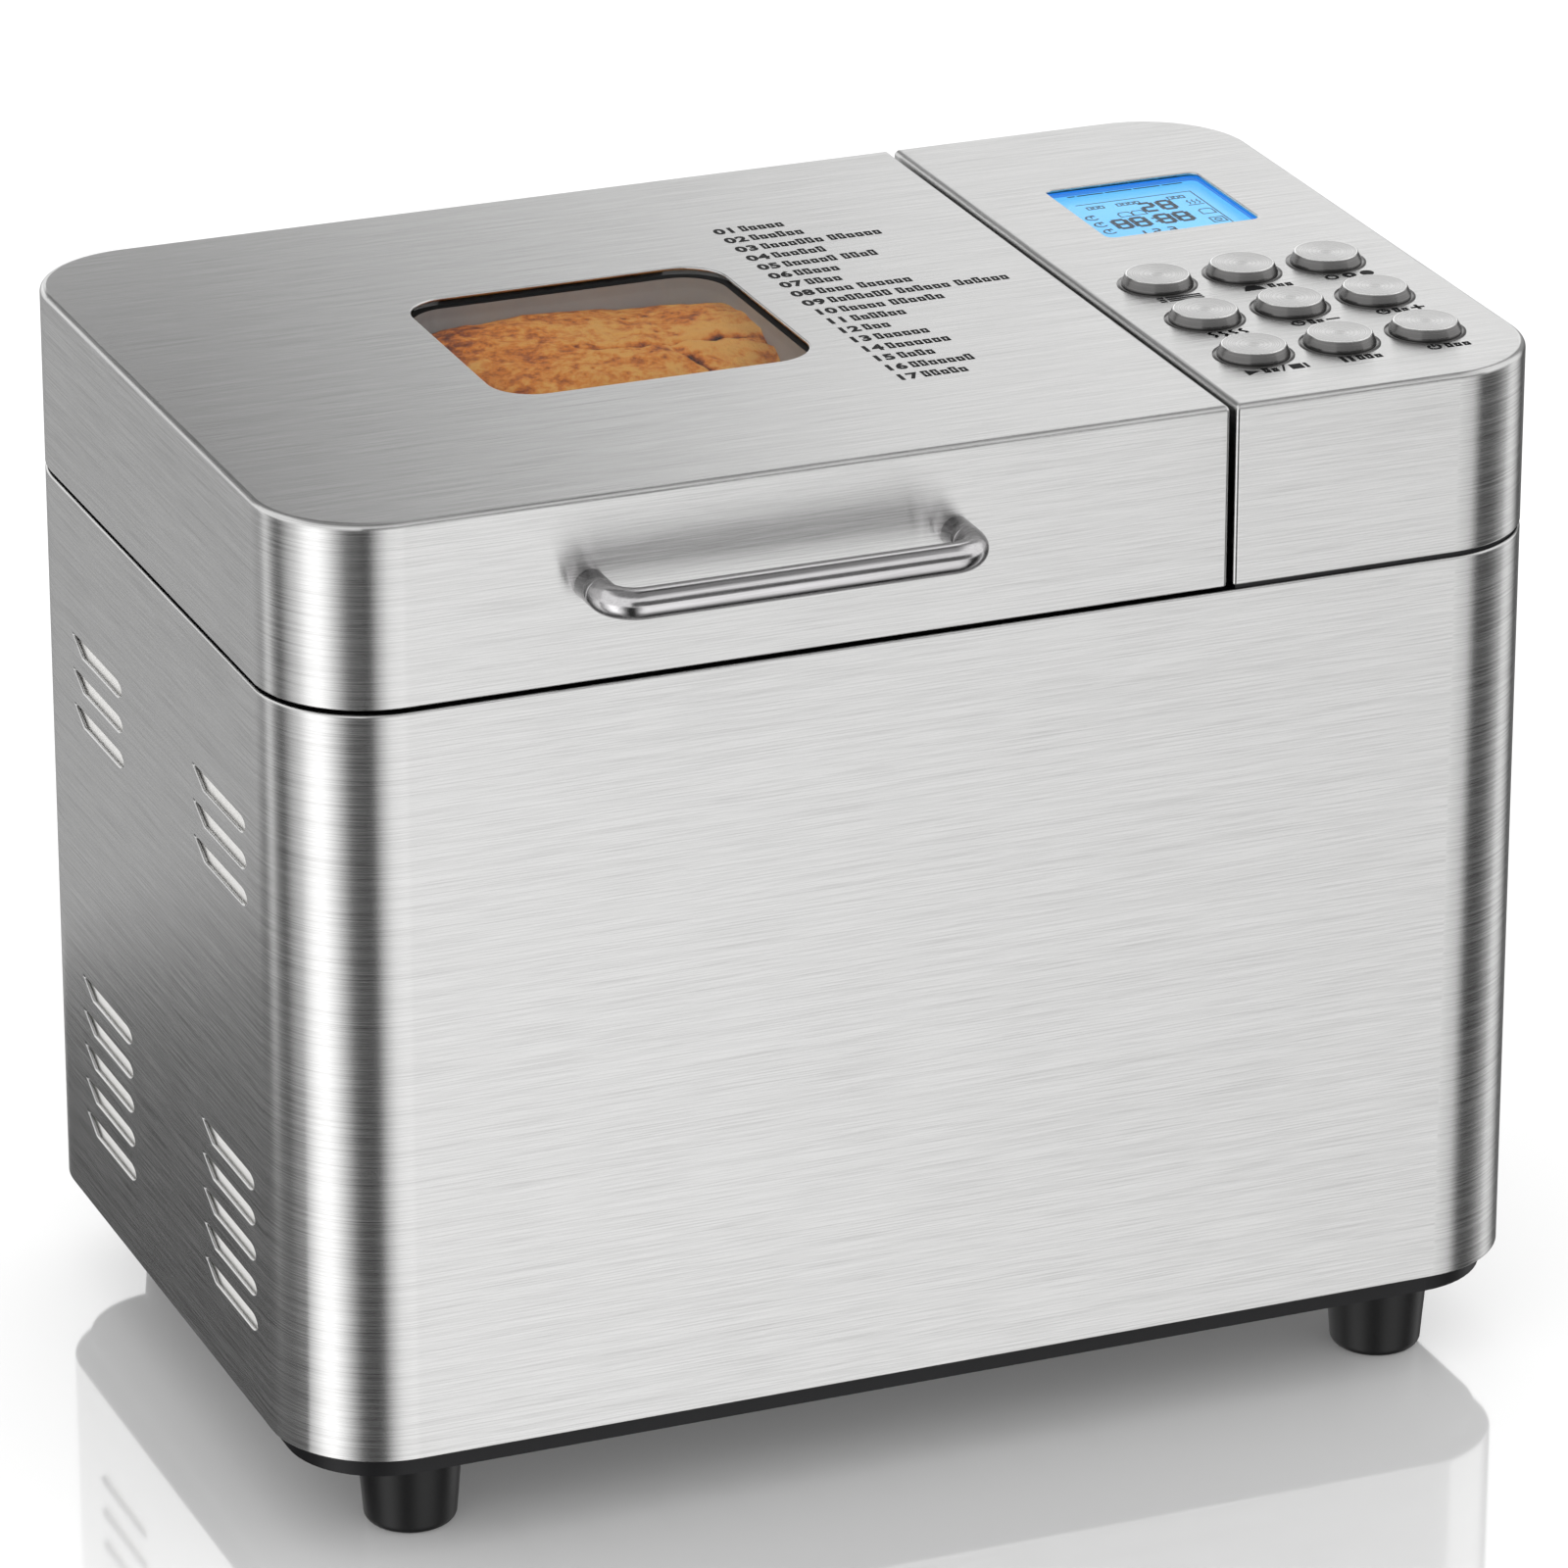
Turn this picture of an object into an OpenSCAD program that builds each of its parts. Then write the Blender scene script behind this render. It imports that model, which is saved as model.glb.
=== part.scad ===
// Horizontal-loaf bread machine: steel-wrapped body, hinged window lid, fixed
// control panel with nine buttons, and the oven, pan and belt drive inside.
// Millimetres.  X runs to the right along the front, -Y is the front, +Z is up.
// The origin is on the table, under the middle of the overall box.

/* [Body] */
// Width of the steel wrap
body_w = 340; // [336:1:352]
// Depth of the steel wrap
body_d = 220; // [218:1:232]
// Height of the steel wrap, from the base strip up to the lid line
body_h = 201.6; // [199:0.2:206]
// Outer radius of the four upright corners
corner_r = 29.5; // [26:0.5:32]
// Thickness of the steel sheet
shell_t = 0.8; // [0.6:0.1:1.0]
// Height of the rubber feet
foot_h = 21.5; // [20:0.5:24]
// Radius of a foot where it meets the base
foot_r = 13.6; // [12:0.2:15]
// Height of the black base strip that shows under the wrap
base_reveal = 6; // [5:0.5:8]
// How far the base strip sits in from the wrap
base_inset = 4.5; // [4:0.5:6]

/* [Lid and seams] */
// Height of the lid and the control housing above the lid line
lid_h = 48.6; // [48:0.2:52]
// Where the lid meets the control housing, right of the body's middle
seam_x = 78; // [76:0.5:80]
// Width of the groove between the lid and the control housing
seam_gap = 1.6; // [1.2:0.1:2]
// Height of the groove at the lid line
split_gap = 1.2; // [1:0.1:1.4]
// Width of the viewing window
window_w = 86; // [80:1:90]
// Depth of the viewing window
window_d = 78; // [70:1:80]
// Corner radius of the viewing window
window_r = 12; // [8:1:16]
// Distance between the two legs of the lid handle
handle_span = 96.5; // [90:0.5:110]
// Diameter of the handle bar
handle_bar_d = 8; // [7:0.5:9]
// Distance from the lid's front face to the middle of the bar
handle_reach = 17; // [17:0.5:22]

/* [Control panel] */
// Width of the display opening
display_w = 44; // [40:1:46]
// Depth of the display opening
display_d = 42; // [38:1:44]
// Diameter of a button cap
button_d = 18.2; // [17:0.2:19]
// How far a cap stands above the panel
button_proud = 3; // [2.5:0.1:3.5]
// How far a cap can be pressed
button_travel = 1; // [0.8:0.1:1.2]
// Distance between button columns
button_pitch_x = 24; // [23:0.5:25]
// Distance between button rows
button_pitch_y = 29.3; // [28:0.1:30]

/* [Oven and pan] */
// Inside width of the oven
oven_w = 204; // [203:1:206]
// Inside depth of the oven
oven_d = 174; // [173:1:178]
// Outside width of the bread pan
pan_w = 166; // [162:1:168]
// Outside depth of the bread pan
pan_d = 120; // [116:1:122]
// Height of the bread pan
pan_h = 128; // [122:1:130]
// Radius of the pan's upright corners
pan_r = 22; // [18:1:26]
// How far the pan turns to unlock
pan_unlock_angle = 10; // [8:1:10]

/* [Drive] */
// Pitch radius of the large belt pulley
pulley_r = 48; // [42:6:48]
// Turns of the motor for one turn of the paddle
belt_ratio = 6; // [6:1:6]
// Radius of the drive shaft, paddle shaft and motor shaft
shaft_r = 4; // [3.5:0.1:4]

/* [Hidden] */
$fn = 64;

// Gaps between pieces
skin_gap = 0.1;      // between nested fixed pieces
run_gap = 0.06;      // a shaft in its bearing
free_gap = 0.4;      // between moving faces
cut = 1;             // how far a cutter runs past a face

// Levels, from the table up
tray_z = foot_h;
tray_floor = 2.5;
shell_z = tray_z + base_reveal;
split_z = shell_z + body_h;
shell_top = split_z - split_gap / 2;
lid_z = split_z + split_gap / 2;
top_z = split_z + lid_h;
skin_z = top_z - shell_t;

// The outline sits back from the middle so that the overall box is centred
hinge_r = 5.5;
hinge_back = 6.5;
body_cy = (handle_reach + handle_bar_d / 2 - hinge_back - hinge_r) / 2;

// Screws: one size throughout
screw_r = 2;
screw_l = 12;
head_r = 4;
head_h = 2.4;

// Feet
foot_x = body_w / 2 - 34.5;
foot_y = body_d / 2 - 23.3;
foot_taper = 1.6;
foot_round = 2.5;
foot_seat_z = 14.4;

// Air slots in the tray's floor, and the corner radius of every air slot
floor_slot = [4, 30];
floor_slots_x = [-100 : 20 : 60];
floor_slots_y = 70;
slot_r = 1.9;

// Chassis
chassis_z = 50;
chassis_t = 2;
chassis_top = chassis_z + chassis_t;
chassis_w = body_w - 26;
chassis_d = body_d - 28;
boss_r = 6;
boss_xy = [for (x = [-140, 20, 148], s = [-1, 1]) [x, s * (x == 20 ? 88 : 72)]];

// Rear panel and its opening in the wrap
rear_w = 260;
rear_z = shell_z + 18;
rear_top = split_z - 42;
rear_lap = 9;
rear_t = 1;
gland_x = 118;
gland_z = rear_z + 22;
gland_r = 8;
cord_r = 3.6;
rear_screw_x = rear_w / 2 + rear_lap / 2;
baffle_gap = 0.8;
rear_slot = [4, 24];
rear_slots_x = [70 : 9 : rear_w / 2 - 6];
rear_slots_z = [10, 40];      // rows, above the panel's middle

// Side vents, measured from the middle of the body and from the lid line
vent_l = 40;
vent_h = 4.4;
vent_slant = 7.5;
vent_pitch = 9.75;
vent_columns = [-71.2, 26];
vent_groups = [[41, 3], [137.8, 5]];

// Oven
oven_x = -46;
oven_t = 0.8;
oven_r = 15;
oven_z = 58;
deck_top = split_z - 1.1;
deck_t = 3;
flange_w = 8;
oven_flange_top = deck_top + oven_t;

// Heating element: a tube loop with two legs out through the right wall
rod_r = 3.3;
rod_z = oven_z + 14;
rod_x = oven_w / 2 - 10;
rod_y = oven_d / 2 - 10;
rod_bend = 15;
leg_bend = 8;
leg_y = 12;
leg_out = 16;

// Pan socket and the pan's foot: a bayonet
foot_ring_r = 44;
ring_t = 3;
socket_in_r = foot_ring_r + free_gap;
socket_out_r = socket_in_r + 5;
socket_h = 16;
lug_angle = 14;
lug_h = 5;
lug_z = oven_z + oven_t + 3;
lug_reach = 3;

// Pan
pan_t = 1.2;
pan_z = 84;
pan_top = pan_z + pan_h;
rim_w = 4;
pivot_z = pan_top - 14;
ear_t = 4.5;
wire_r = 2;
bail_x = pan_w / 2 + ear_t + 3;
bail_y = 70;
bail_r = 16;

// Paddle and couplings
bushing_r = 9;
bushing_flange_r = 13;
bushing_z = 80;
bushing_top = pan_z + pan_t + 1.3;
dog_z = 66.5;
dog_disc_t = 3.5;
dog_disc_r = 16;
dog_lug_h = 6;
wing_z = dog_z + dog_disc_t + 0.8;
wing_l = 30;
wing_t = 5;
paddle_z = bushing_top + 0.8;
paddle_hub_r = 8.5;
paddle_h = 24;
blade_l = 44;
blade_t = 5;

// Drive
pulley_z = 33;
pulley_h = 12;
belt_h = 8;
belt_t = 2;
belt_gap = 0.3;
belt_z = pulley_z + (pulley_h - belt_h) / 2;
small_r = pulley_r / belt_ratio;
motor_x = 112;
belt_span = motor_x - oven_x;
housing_z = 46;
housing_top = 66;
bearing_r = 10;
bearing_h = 7;
spigot_r = 15.9;
nose_r = 11.9;
motor_r = 40;
motor_h = 62;
motor_flange = 88;
rotor_r = 26;
rotor_h = 38;
rotor_z = chassis_top + 14;

// Electronics
board_t = 1.6;
power_z = chassis_top + 6;
power_box = [92, 46];
power_xy = [112, 70];
ribbon_w = 20;
ribbon_y = 74;

// Control panel, measured from the middle of the body
panel_x = seam_x + seam_gap / 2;
shelf_z = top_z - 15.7;
shelf_t = 2;
control_z = shelf_z + shelf_t;
board_x = 86;
board_w = 74;
board_front = -94;
board_back = 80;
button_x = 122.5;
button_y = -48;
hole_r = button_d / 2 + free_gap;
flange_t = 1.2;
switch_h = 5;
display_x = 124;
display_y = 41;
display_r = 2.5;
lens_t = 1.6;
lens_lap = 3;

// Lid
lid_right = seam_x - seam_gap / 2;
liner_w = 202;
liner_d = 168;
liner_r = 16;
liner_top = top_z - 15.7;
frame_z = lid_z + 0.5;
frame_t = 4;
glass_t = 3;
glass_lap = 3;
window_x = -45;
window_y = 2;
window_wall = 6;
gasket_w = 5;
gasket_in = 1.5;
handle_x = -45.2;
handle_z = top_z - 22.7;
handle_bend = 8;

// Hinges
hinge_xs = [oven_x - 74, oven_x + 74];
hinge_y = body_d / 2 + hinge_back;
hinge_z = split_z - 3;
pin_r = 2;
knuckle_w = 18;
ear_w = 10;
leaf_w = 2 * ear_w + knuckle_w + 2 * free_gap;
leaf_t = 2.2;

// ---- Shared shapes -------------------------------------------------------

module at_body() translate([0, body_cy, 0]) children();

module at_oven() at_body() translate([oven_x, 0, 0]) children();

module rounded_rect(w, d, r) {
    square([w - 2 * r, d], center = true);
    square([w, d - 2 * r], center = true);
    for (x = [-1, 1], y = [-1, 1])
        translate([x * (w / 2 - r), y * (d / 2 - r)]) circle(r);
}

// The machine's plan, drawn in by a margin
module plan(inset = 0)
    rounded_rect(body_w - 2 * inset, body_d - 2 * inset, corner_r - inset);

// The part of the plan to the left of a line, and to the right of one
module plan_left(edge, inset = 0) intersection() {
    plan(inset);
    translate([-body_w, -body_d]) square([body_w + edge, 2 * body_d]);
}

module plan_right(edge, inset = 0) intersection() {
    plan(inset);
    translate([edge, -body_d]) square([body_w, 2 * body_d]);
}

module tube(r, inner, h) difference() {
    cylinder(r = r, h = h);
    translate([0, 0, -cut]) cylinder(r = inner, h = h + 2 * cut);
}

// A quarter bend of round rod about the origin, from +X round to +Y
module rod_bend_quarter(bend, r)
    rotate_extrude(angle = 90) translate([bend, 0]) circle(r);

// A straight length of round rod along +X or along +Y
module rod_x(l, r) rotate([0, 90, 0]) cylinder(r = r, h = l);

module rod_y(l, r) rotate([-90, 0, 0]) cylinder(r = r, h = l);

module screw() {
    cylinder(r = screw_r, h = screw_l);
    translate([0, 0, -head_h]) cylinder(r = head_r, h = head_h);
}

module at_rear_screws()
    for (x = [-1, 1], z = [rear_z + 10, (rear_z + rear_top) / 2, rear_top - 10])
        translate([x * rear_screw_x, body_d / 2, z]) rotate([90, 0, 0]) children();

module at_feet()
    for (x = [-1, 1], y = [-1, 1]) translate([x * foot_x, y * foot_y, 0]) children();

// ---- Base ----------------------------------------------------------------

module base_tray() color("#202020") at_body() difference() {
    union() {
        difference() {
            union() {
                translate([0, 0, tray_z]) linear_extrude(base_reveal) plan(base_inset);
                translate([0, 0, shell_z])
                    linear_extrude(7.5) plan(shell_t + skin_gap);
            }
            translate([0, 0, tray_z + tray_floor]) linear_extrude(20) plan(base_inset + 3);
            translate([0, 0, shell_z + 2.5]) linear_extrude(20) plan(shell_t + 3.4);
        }
        for (p = boss_xy) translate([p[0], p[1], tray_z + cut])
            cylinder(r = boss_r, h = chassis_z - tray_z - cut);
        at_feet() translate([0, 0, tray_z + cut]) cylinder(r = boss_r, h = 8);
    }
    for (p = boss_xy) translate([p[0], p[1], chassis_z - screw_l])
        cylinder(r = screw_r, h = screw_l + cut);
    at_feet() translate([0, 0, tray_z - cut]) cylinder(r = screw_r, h = 8);
    // Air slots in the floor
    for (x = floor_slots_x, s = [-1, 1])
        translate([x, s * floor_slots_y, tray_z - cut]) linear_extrude(tray_floor + 2 * cut)
            rounded_rect(floor_slot[0], floor_slot[1], slot_r);
}

module foot_profile() difference() {
    union() {
        translate([0, foot_round])
            polygon([[0, 0], [foot_r - foot_taper, 0], [foot_r, foot_h - foot_round],
                     [0, foot_h - foot_round]]);
        square([foot_r - foot_taper - foot_round, foot_h / 2]);
        translate([foot_r - foot_taper - foot_round, foot_round]) circle(foot_round);
    }
    translate([-cut, -cut]) square([screw_r + cut, foot_h + 2 * cut]);
    translate([-cut, -cut]) square([head_r + cut + 0.6, foot_seat_z + cut]);
}

module feet() color("#181818") at_body() at_feet() rotate_extrude() foot_profile();

module case_screws() color("silver") at_body() {
    at_feet() translate([0, 0, foot_seat_z]) screw();
    for (p = boss_xy) translate([p[0], p[1], chassis_top]) rotate([180, 0, 0]) screw();
    at_rear_screws() screw();
}

module chassis_plate() color("lightgray") at_body() difference() {
    union() {
        translate([0, 0, chassis_z]) linear_extrude(chassis_t)
            rounded_rect(chassis_w, chassis_d, 12);
        // Pressed stand-offs under the power board
        for (x = [-1, 1], y = [-1, 1])
            translate([power_xy[0] + x * (power_box[0] / 2 - 5),
                       power_xy[1] + y * (power_box[1] / 2 - 5), chassis_top])
                cylinder(r = 3, h = power_z - chassis_top);
    }
    translate([oven_x, 0, chassis_z - cut])
        cylinder(r = spigot_r + skin_gap, h = chassis_t + 2 * cut);
    translate([motor_x, 0, chassis_z - cut]) cylinder(r = 14, h = chassis_t + 2 * cut);
    for (p = boss_xy) translate([p[0], p[1], chassis_z - cut])
        cylinder(r = screw_r, h = chassis_t + 2 * cut);
}

// ---- Outer body ----------------------------------------------------------

// One louvre slot in the side sheet, seen square on: round at the front end
// and cut on a slant at the back end.
module vent_slot() {
    translate([vent_h / 2, 0]) circle(vent_h / 2);
    polygon([[vent_h / 2, -vent_h / 2], [vent_l - vent_slant, -vent_h / 2],
             [vent_l, vent_h / 2], [vent_h / 2, vent_h / 2]]);
}

module side_vents()
    for (side = [-1, 1], y = vent_columns, g = vent_groups, i = [0 : g[1] - 1])
        translate([side * (body_w / 2 - shell_t / 2) - 3, y, split_z - g[0] - i * vent_pitch])
            rotate([90, 0, 90]) linear_extrude(6) vent_slot();

module body_shell() color("silver") at_body() difference() {
    translate([0, 0, shell_z]) linear_extrude(shell_top - shell_z) difference() {
        plan();
        plan(shell_t);
    }
    side_vents();
    translate([-rear_w / 2, body_d / 2 - 5, rear_z]) cube([rear_w, 10, rear_top - rear_z]);
    at_rear_screws() translate([0, 0, -5]) cylinder(r = screw_r + skin_gap, h = 10);
}

module rear_panel() color("gray") at_body() difference() {
    translate([-rear_w / 2 - rear_lap, body_d / 2 - shell_t - rear_t, rear_z - rear_lap])
        cube([rear_w + 2 * rear_lap, rear_t, rear_top - rear_z + 2 * rear_lap]);
    translate([gland_x, body_d / 2 + cut, gland_z]) rotate([90, 0, 0])
        cylinder(r = gland_r, h = 5);
    at_rear_screws() cylinder(r = screw_r + skin_gap, h = 5);
    for (x = rear_slots_x, z = rear_slots_z)
        translate([x, body_d / 2, (rear_top + rear_z) / 2 + z])
            rotate([90, 0, 0]) linear_extrude(5) rounded_rect(rear_slot[0], rear_slot[1], slot_r);
}

// Baffles stand off behind the louvres: air passes round them, not through
module vent_baffles() color("#dedad2") at_body()
    for (turn = [0, 180]) rotate([0, 0, turn]) {
        translate([-body_w / 2 + shell_t + baffle_gap, -80, shell_z + 16]) cube([1.5, 160, 160]);
        for (y = [-76, 76], z = [shell_z + 24, shell_z + 168])
            translate([-body_w / 2 + shell_t, y, z]) rod_x(baffle_gap, 3);
    }

module top_deck() color("#303030") at_body() difference() {
    translate([0, 0, deck_top - deck_t]) linear_extrude(deck_t) plan(shell_t + skin_gap);
    translate([oven_x, 0, deck_top - deck_t - cut]) linear_extrude(deck_t + 2 * cut)
        rounded_rect(oven_w + 2 * oven_t + 2 * skin_gap, oven_d + 2 * oven_t + 2 * skin_gap,
                     oven_r + oven_t + skin_gap);
    translate([124, 0, deck_top - deck_t - cut]) linear_extrude(deck_t + 2 * cut)
        rounded_rect(66, 170, 8);
}

module cord_gland() color("#181818") at_body()
    translate([gland_x, body_d / 2 - shell_t, gland_z]) rotate([-90, 0, 0]) difference() {
        union() {
            translate([0, 0, -rear_t]) cylinder(r = gland_r, h = rear_t + cut);
            cylinder(r = gland_r + 3, h = 5);
            translate([0, 0, -rear_t - 6]) cylinder(r = gland_r + 2, h = 6);
        }
        translate([0, 0, -10]) cylinder(r = cord_r, h = 20);
    }

// ---- Oven ----------------------------------------------------------------

module oven_liner() color("gainsboro") at_oven() difference() {
    union() {
        translate([0, 0, oven_z]) linear_extrude(oven_flange_top - oven_z)
            rounded_rect(oven_w + 2 * oven_t, oven_d + 2 * oven_t, oven_r + oven_t);
        translate([0, 0, deck_top]) linear_extrude(oven_t)
            rounded_rect(oven_w + 2 * flange_w, oven_d + 2 * flange_w, oven_r + flange_w);
    }
    translate([0, 0, oven_z + oven_t]) linear_extrude(body_h) rounded_rect(oven_w, oven_d, oven_r);
    translate([0, 0, oven_z - cut]) cylinder(r = nose_r + skin_gap, h = 5);
    for (s = [-1, 1]) translate([oven_w / 2 - 5, s * leg_y, rod_z]) rod_x(10, rod_r + 0.5);
    translate([oven_w / 2 - 5, 50, rod_z + 34]) rod_x(10, 3);
}

module heating_element() color("dimgray") at_oven() translate([0, 0, rod_z]) {
    for (s = [-1, 1]) {
        // Leg out through the wall, its bend and half of each side
        translate([rod_x + leg_bend, s * leg_y, 0]) rod_x(leg_out, rod_r);
        translate([rod_x + leg_bend, s * (leg_y + leg_bend), 0])
            rotate([0, 0, s > 0 ? 180 : 90]) rod_bend_quarter(leg_bend, rod_r);
        translate([rod_x, s > 0 ? leg_y + leg_bend : -rod_y + rod_bend, 0])
            rod_y(rod_y - rod_bend - leg_y - leg_bend, rod_r);
        translate([-rod_x + rod_bend, s * rod_y, 0]) rod_x(2 * (rod_x - rod_bend), rod_r);
        translate([rod_x - rod_bend, s * (rod_y - rod_bend), 0])
            rotate([0, 0, s > 0 ? 0 : -90]) rod_bend_quarter(rod_bend, rod_r);
        translate([-rod_x + rod_bend, s * (rod_y - rod_bend), 0])
            rotate([0, 0, s > 0 ? 90 : 180]) rod_bend_quarter(rod_bend, rod_r);
    }
    translate([-rod_x, -rod_y + rod_bend, 0]) rod_y(2 * (rod_y - rod_bend), rod_r);
}

// A block-shaped sector about Z, from one radius out to another
module sector(inner, outer, from, span, h)
    rotate([0, 0, from]) rotate_extrude(angle = span)
        translate([inner, 0]) square([outer - inner, h]);

// The four lugs sit under the ring's solid arcs; the gaps beside them are the way out
module pan_socket() color("lightgray") at_oven() difference() {
    translate([0, 0, oven_z + oven_t]) union() {
        tube(socket_out_r, socket_in_r, socket_h);
        tube(socket_out_r + 5, socket_in_r, 1.5);
    }
    for (i = [0 : 3]) {
        translate([0, 0, lug_z - free_gap])
            sector(socket_in_r - cut, socket_out_r - 1.4, i * 90 + 45 - lug_angle / 2 - 2,
                   lug_angle + pan_unlock_angle + 4, lug_h + 2 * free_gap);
        translate([0, 0, lug_z - free_gap])
            sector(socket_in_r - cut, socket_out_r - 1.4,
                   i * 90 + 45 - lug_angle / 2 + pan_unlock_angle - 1, lug_angle + 2, 30);
    }
}

module temperature_sensor() color("silver") at_oven()
    translate([oven_w / 2 + oven_t, 50, rod_z + 34]) {
        translate([-8, 0, 0]) rod_x(8, 2.6);
        rod_x(5, 6);
        translate([5, 0, 0]) rod_x(6, 3);
    }

module thermal_fuse() color("silver") at_oven()
    translate([oven_w / 2 + oven_t, -46, rod_z + 40]) difference() {
        union() {
            translate([0, -8, -14]) cube([1.2, 16, 28]);
            translate([1.2, -5, -8]) cube([7, 10, 16]);
        }
        translate([2.6, -3, -9]) cube([4.2, 6, 18]);
    }

// ---- Pan -----------------------------------------------------------------

module bread_pan() color("#4a4a4c") at_oven() difference() {
    union() {
        translate([0, 0, pan_z]) linear_extrude(pan_h) rounded_rect(pan_w, pan_d, pan_r);
        translate([0, 0, pan_top - pan_t]) linear_extrude(pan_t)
            rounded_rect(pan_w + 2 * rim_w, pan_d + 2 * rim_w, pan_r + rim_w);
        // Ears that carry the bail
        for (s = [-1, 1])
            translate([s * (pan_w / 2 + ear_t / 2), 0, pivot_z])
                cube([ear_t, 14, 16], center = true);
    }
    translate([0, 0, pan_z + pan_t]) linear_extrude(pan_h)
        rounded_rect(pan_w - 2 * pan_t, pan_d - 2 * pan_t, pan_r - pan_t);
    translate([0, 0, pan_z - cut]) cylinder(r = bushing_r, h = 5);
    for (s = [0, 180]) rotate([0, 0, s])
        translate([pan_w / 2 + 0.6, 0, pivot_z]) rod_x(ear_t + cut, wire_r + run_gap);
}

module pan_foot() color("silver") at_oven() difference() {
    union() {
        translate([0, 0, oven_z + oven_t + 1.5])
            tube(foot_ring_r, foot_ring_r - ring_t, pan_z - oven_z - oven_t - 1.5);
        translate([0, 0, pan_z - 1.5]) tube(foot_ring_r + 5, foot_ring_r - 6, 1.5);
        for (i = [0 : 3]) translate([0, 0, lug_z])
            sector(foot_ring_r - 1, foot_ring_r + lug_reach, i * 90 + 45 - lug_angle / 2,
                   lug_angle, lug_h);
    }
}

module pan_bushing() color("goldenrod") at_oven() difference() {
    union() {
        translate([0, 0, bushing_z]) cylinder(r = bushing_flange_r, h = pan_z - bushing_z);
        translate([0, 0, bushing_z]) cylinder(r = bushing_r, h = bushing_top - bushing_z);
    }
    translate([0, 0, bushing_z - cut]) cylinder(r = shaft_r + run_gap, h = 20);
}

// The bail lies level in front of the pan, hooked inwards into the ears
module pan_handle() color("silver") at_oven() translate([0, 0, pivot_z]) {
    for (s = [-1, 1]) {
        translate([s > 0 ? pan_w / 2 + 1 : -bail_x, 0, 0]) rod_x(bail_x - pan_w / 2 - 1, wire_r);
        translate([s * bail_x, 0, 0]) sphere(wire_r);
        translate([s * bail_x, -bail_y + bail_r, 0]) rod_y(bail_y - bail_r, wire_r);
        translate([s * (bail_x - bail_r), -bail_y + bail_r, 0])
            rotate([0, 0, s > 0 ? -90 : 180]) rod_bend_quarter(bail_r, wire_r);
    }
    translate([-bail_x + bail_r, -bail_y, 0]) rod_x(2 * (bail_x - bail_r), wire_r);
}

module paddle_shaft() color("silver") at_oven() translate([0, 0, wing_z])
    cylinder(r = shaft_r, h = paddle_z + paddle_h - 4 - wing_z);

module pan_coupling() color("silver") at_oven() translate([0, 0, wing_z]) difference() {
    union() {
        cylinder(r = 7, h = bushing_z - wing_z - 0.6);
        translate([-wing_l / 2, -wing_t / 2, 0]) cube([wing_l, wing_t, dog_lug_h - 1]);
    }
    translate([0, 0, -cut]) cylinder(r = shaft_r, h = 20);
}

module kneading_paddle() color("#3c3c3e") at_oven() translate([0, 0, paddle_z]) difference() {
    union() {
        cylinder(r = paddle_hub_r, h = paddle_h);
        translate([0, -blade_t / 2, 0]) cube([blade_l - 8, blade_t, paddle_h - 4]);
        translate([blade_l - 8, 0, 0]) rotate([90, 0, 0])
            translate([0, 0, -blade_t / 2]) linear_extrude(blade_t) intersection() {
                translate([0, 0]) circle(paddle_h - 8);
                square(paddle_h);
            }
    }
    translate([0, 0, -cut]) cylinder(r = shaft_r, h = paddle_h - 4 + cut);
}

// ---- Drive ---------------------------------------------------------------

module drive_housing() color("lightgray") at_oven() translate([0, 0, housing_z]) difference() {
    union() {
        cylinder(r = spigot_r, h = chassis_top - housing_z);
        translate([0, 0, chassis_top - housing_z]) cylinder(r = 26, h = 3);
        cylinder(r = nose_r, h = housing_top - housing_z);
    }
    translate([0, 0, -cut]) cylinder(r = 8, h = 40);
    translate([0, 0, -cut]) cylinder(r = bearing_r, h = bearing_h + cut);
    translate([0, 0, housing_top - housing_z - bearing_h])
        cylinder(r = bearing_r, h = bearing_h + cut);
}

module drive_bearings() color("goldenrod") at_oven()
    for (z = [housing_z, housing_top - bearing_h])
        translate([0, 0, z]) tube(bearing_r, shaft_r + run_gap, bearing_h);

module drive_shaft() color("silver") at_oven() translate([0, 0, pulley_z - 3])
    cylinder(r = shaft_r, h = dog_z + dog_disc_t - pulley_z + 3);

module belt_pulley(r, flange) {
    cylinder(r = r, h = pulley_h);
    for (z = [0, pulley_h - 1.5]) translate([0, 0, z]) cylinder(r = r + flange, h = 1.5);
}

module drive_pulley() color("#303030") at_oven() translate([0, 0, pulley_z]) difference() {
    belt_pulley(pulley_r, 3);
    translate([0, 0, -cut]) cylinder(r = shaft_r, h = pulley_h + 2 * cut);
    // Lightening holes in the web
    for (i = [0 : 5]) rotate([0, 0, i * 60])
        translate([pulley_r * 0.56, 0, -cut]) cylinder(r = 9, h = pulley_h + 2 * cut);
}

module drive_coupling() color("gray") at_oven() translate([0, 0, dog_z]) difference() {
    union() {
        cylinder(r = dog_disc_r, h = dog_disc_t);
        for (s = [0, 180]) rotate([0, 0, s]) translate([9, -wing_t / 2 - 6.4, 0])
            cube([5, 6, dog_disc_t + dog_lug_h]);
    }
    translate([0, 0, -cut]) cylinder(r = shaft_r, h = 20);
}

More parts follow.
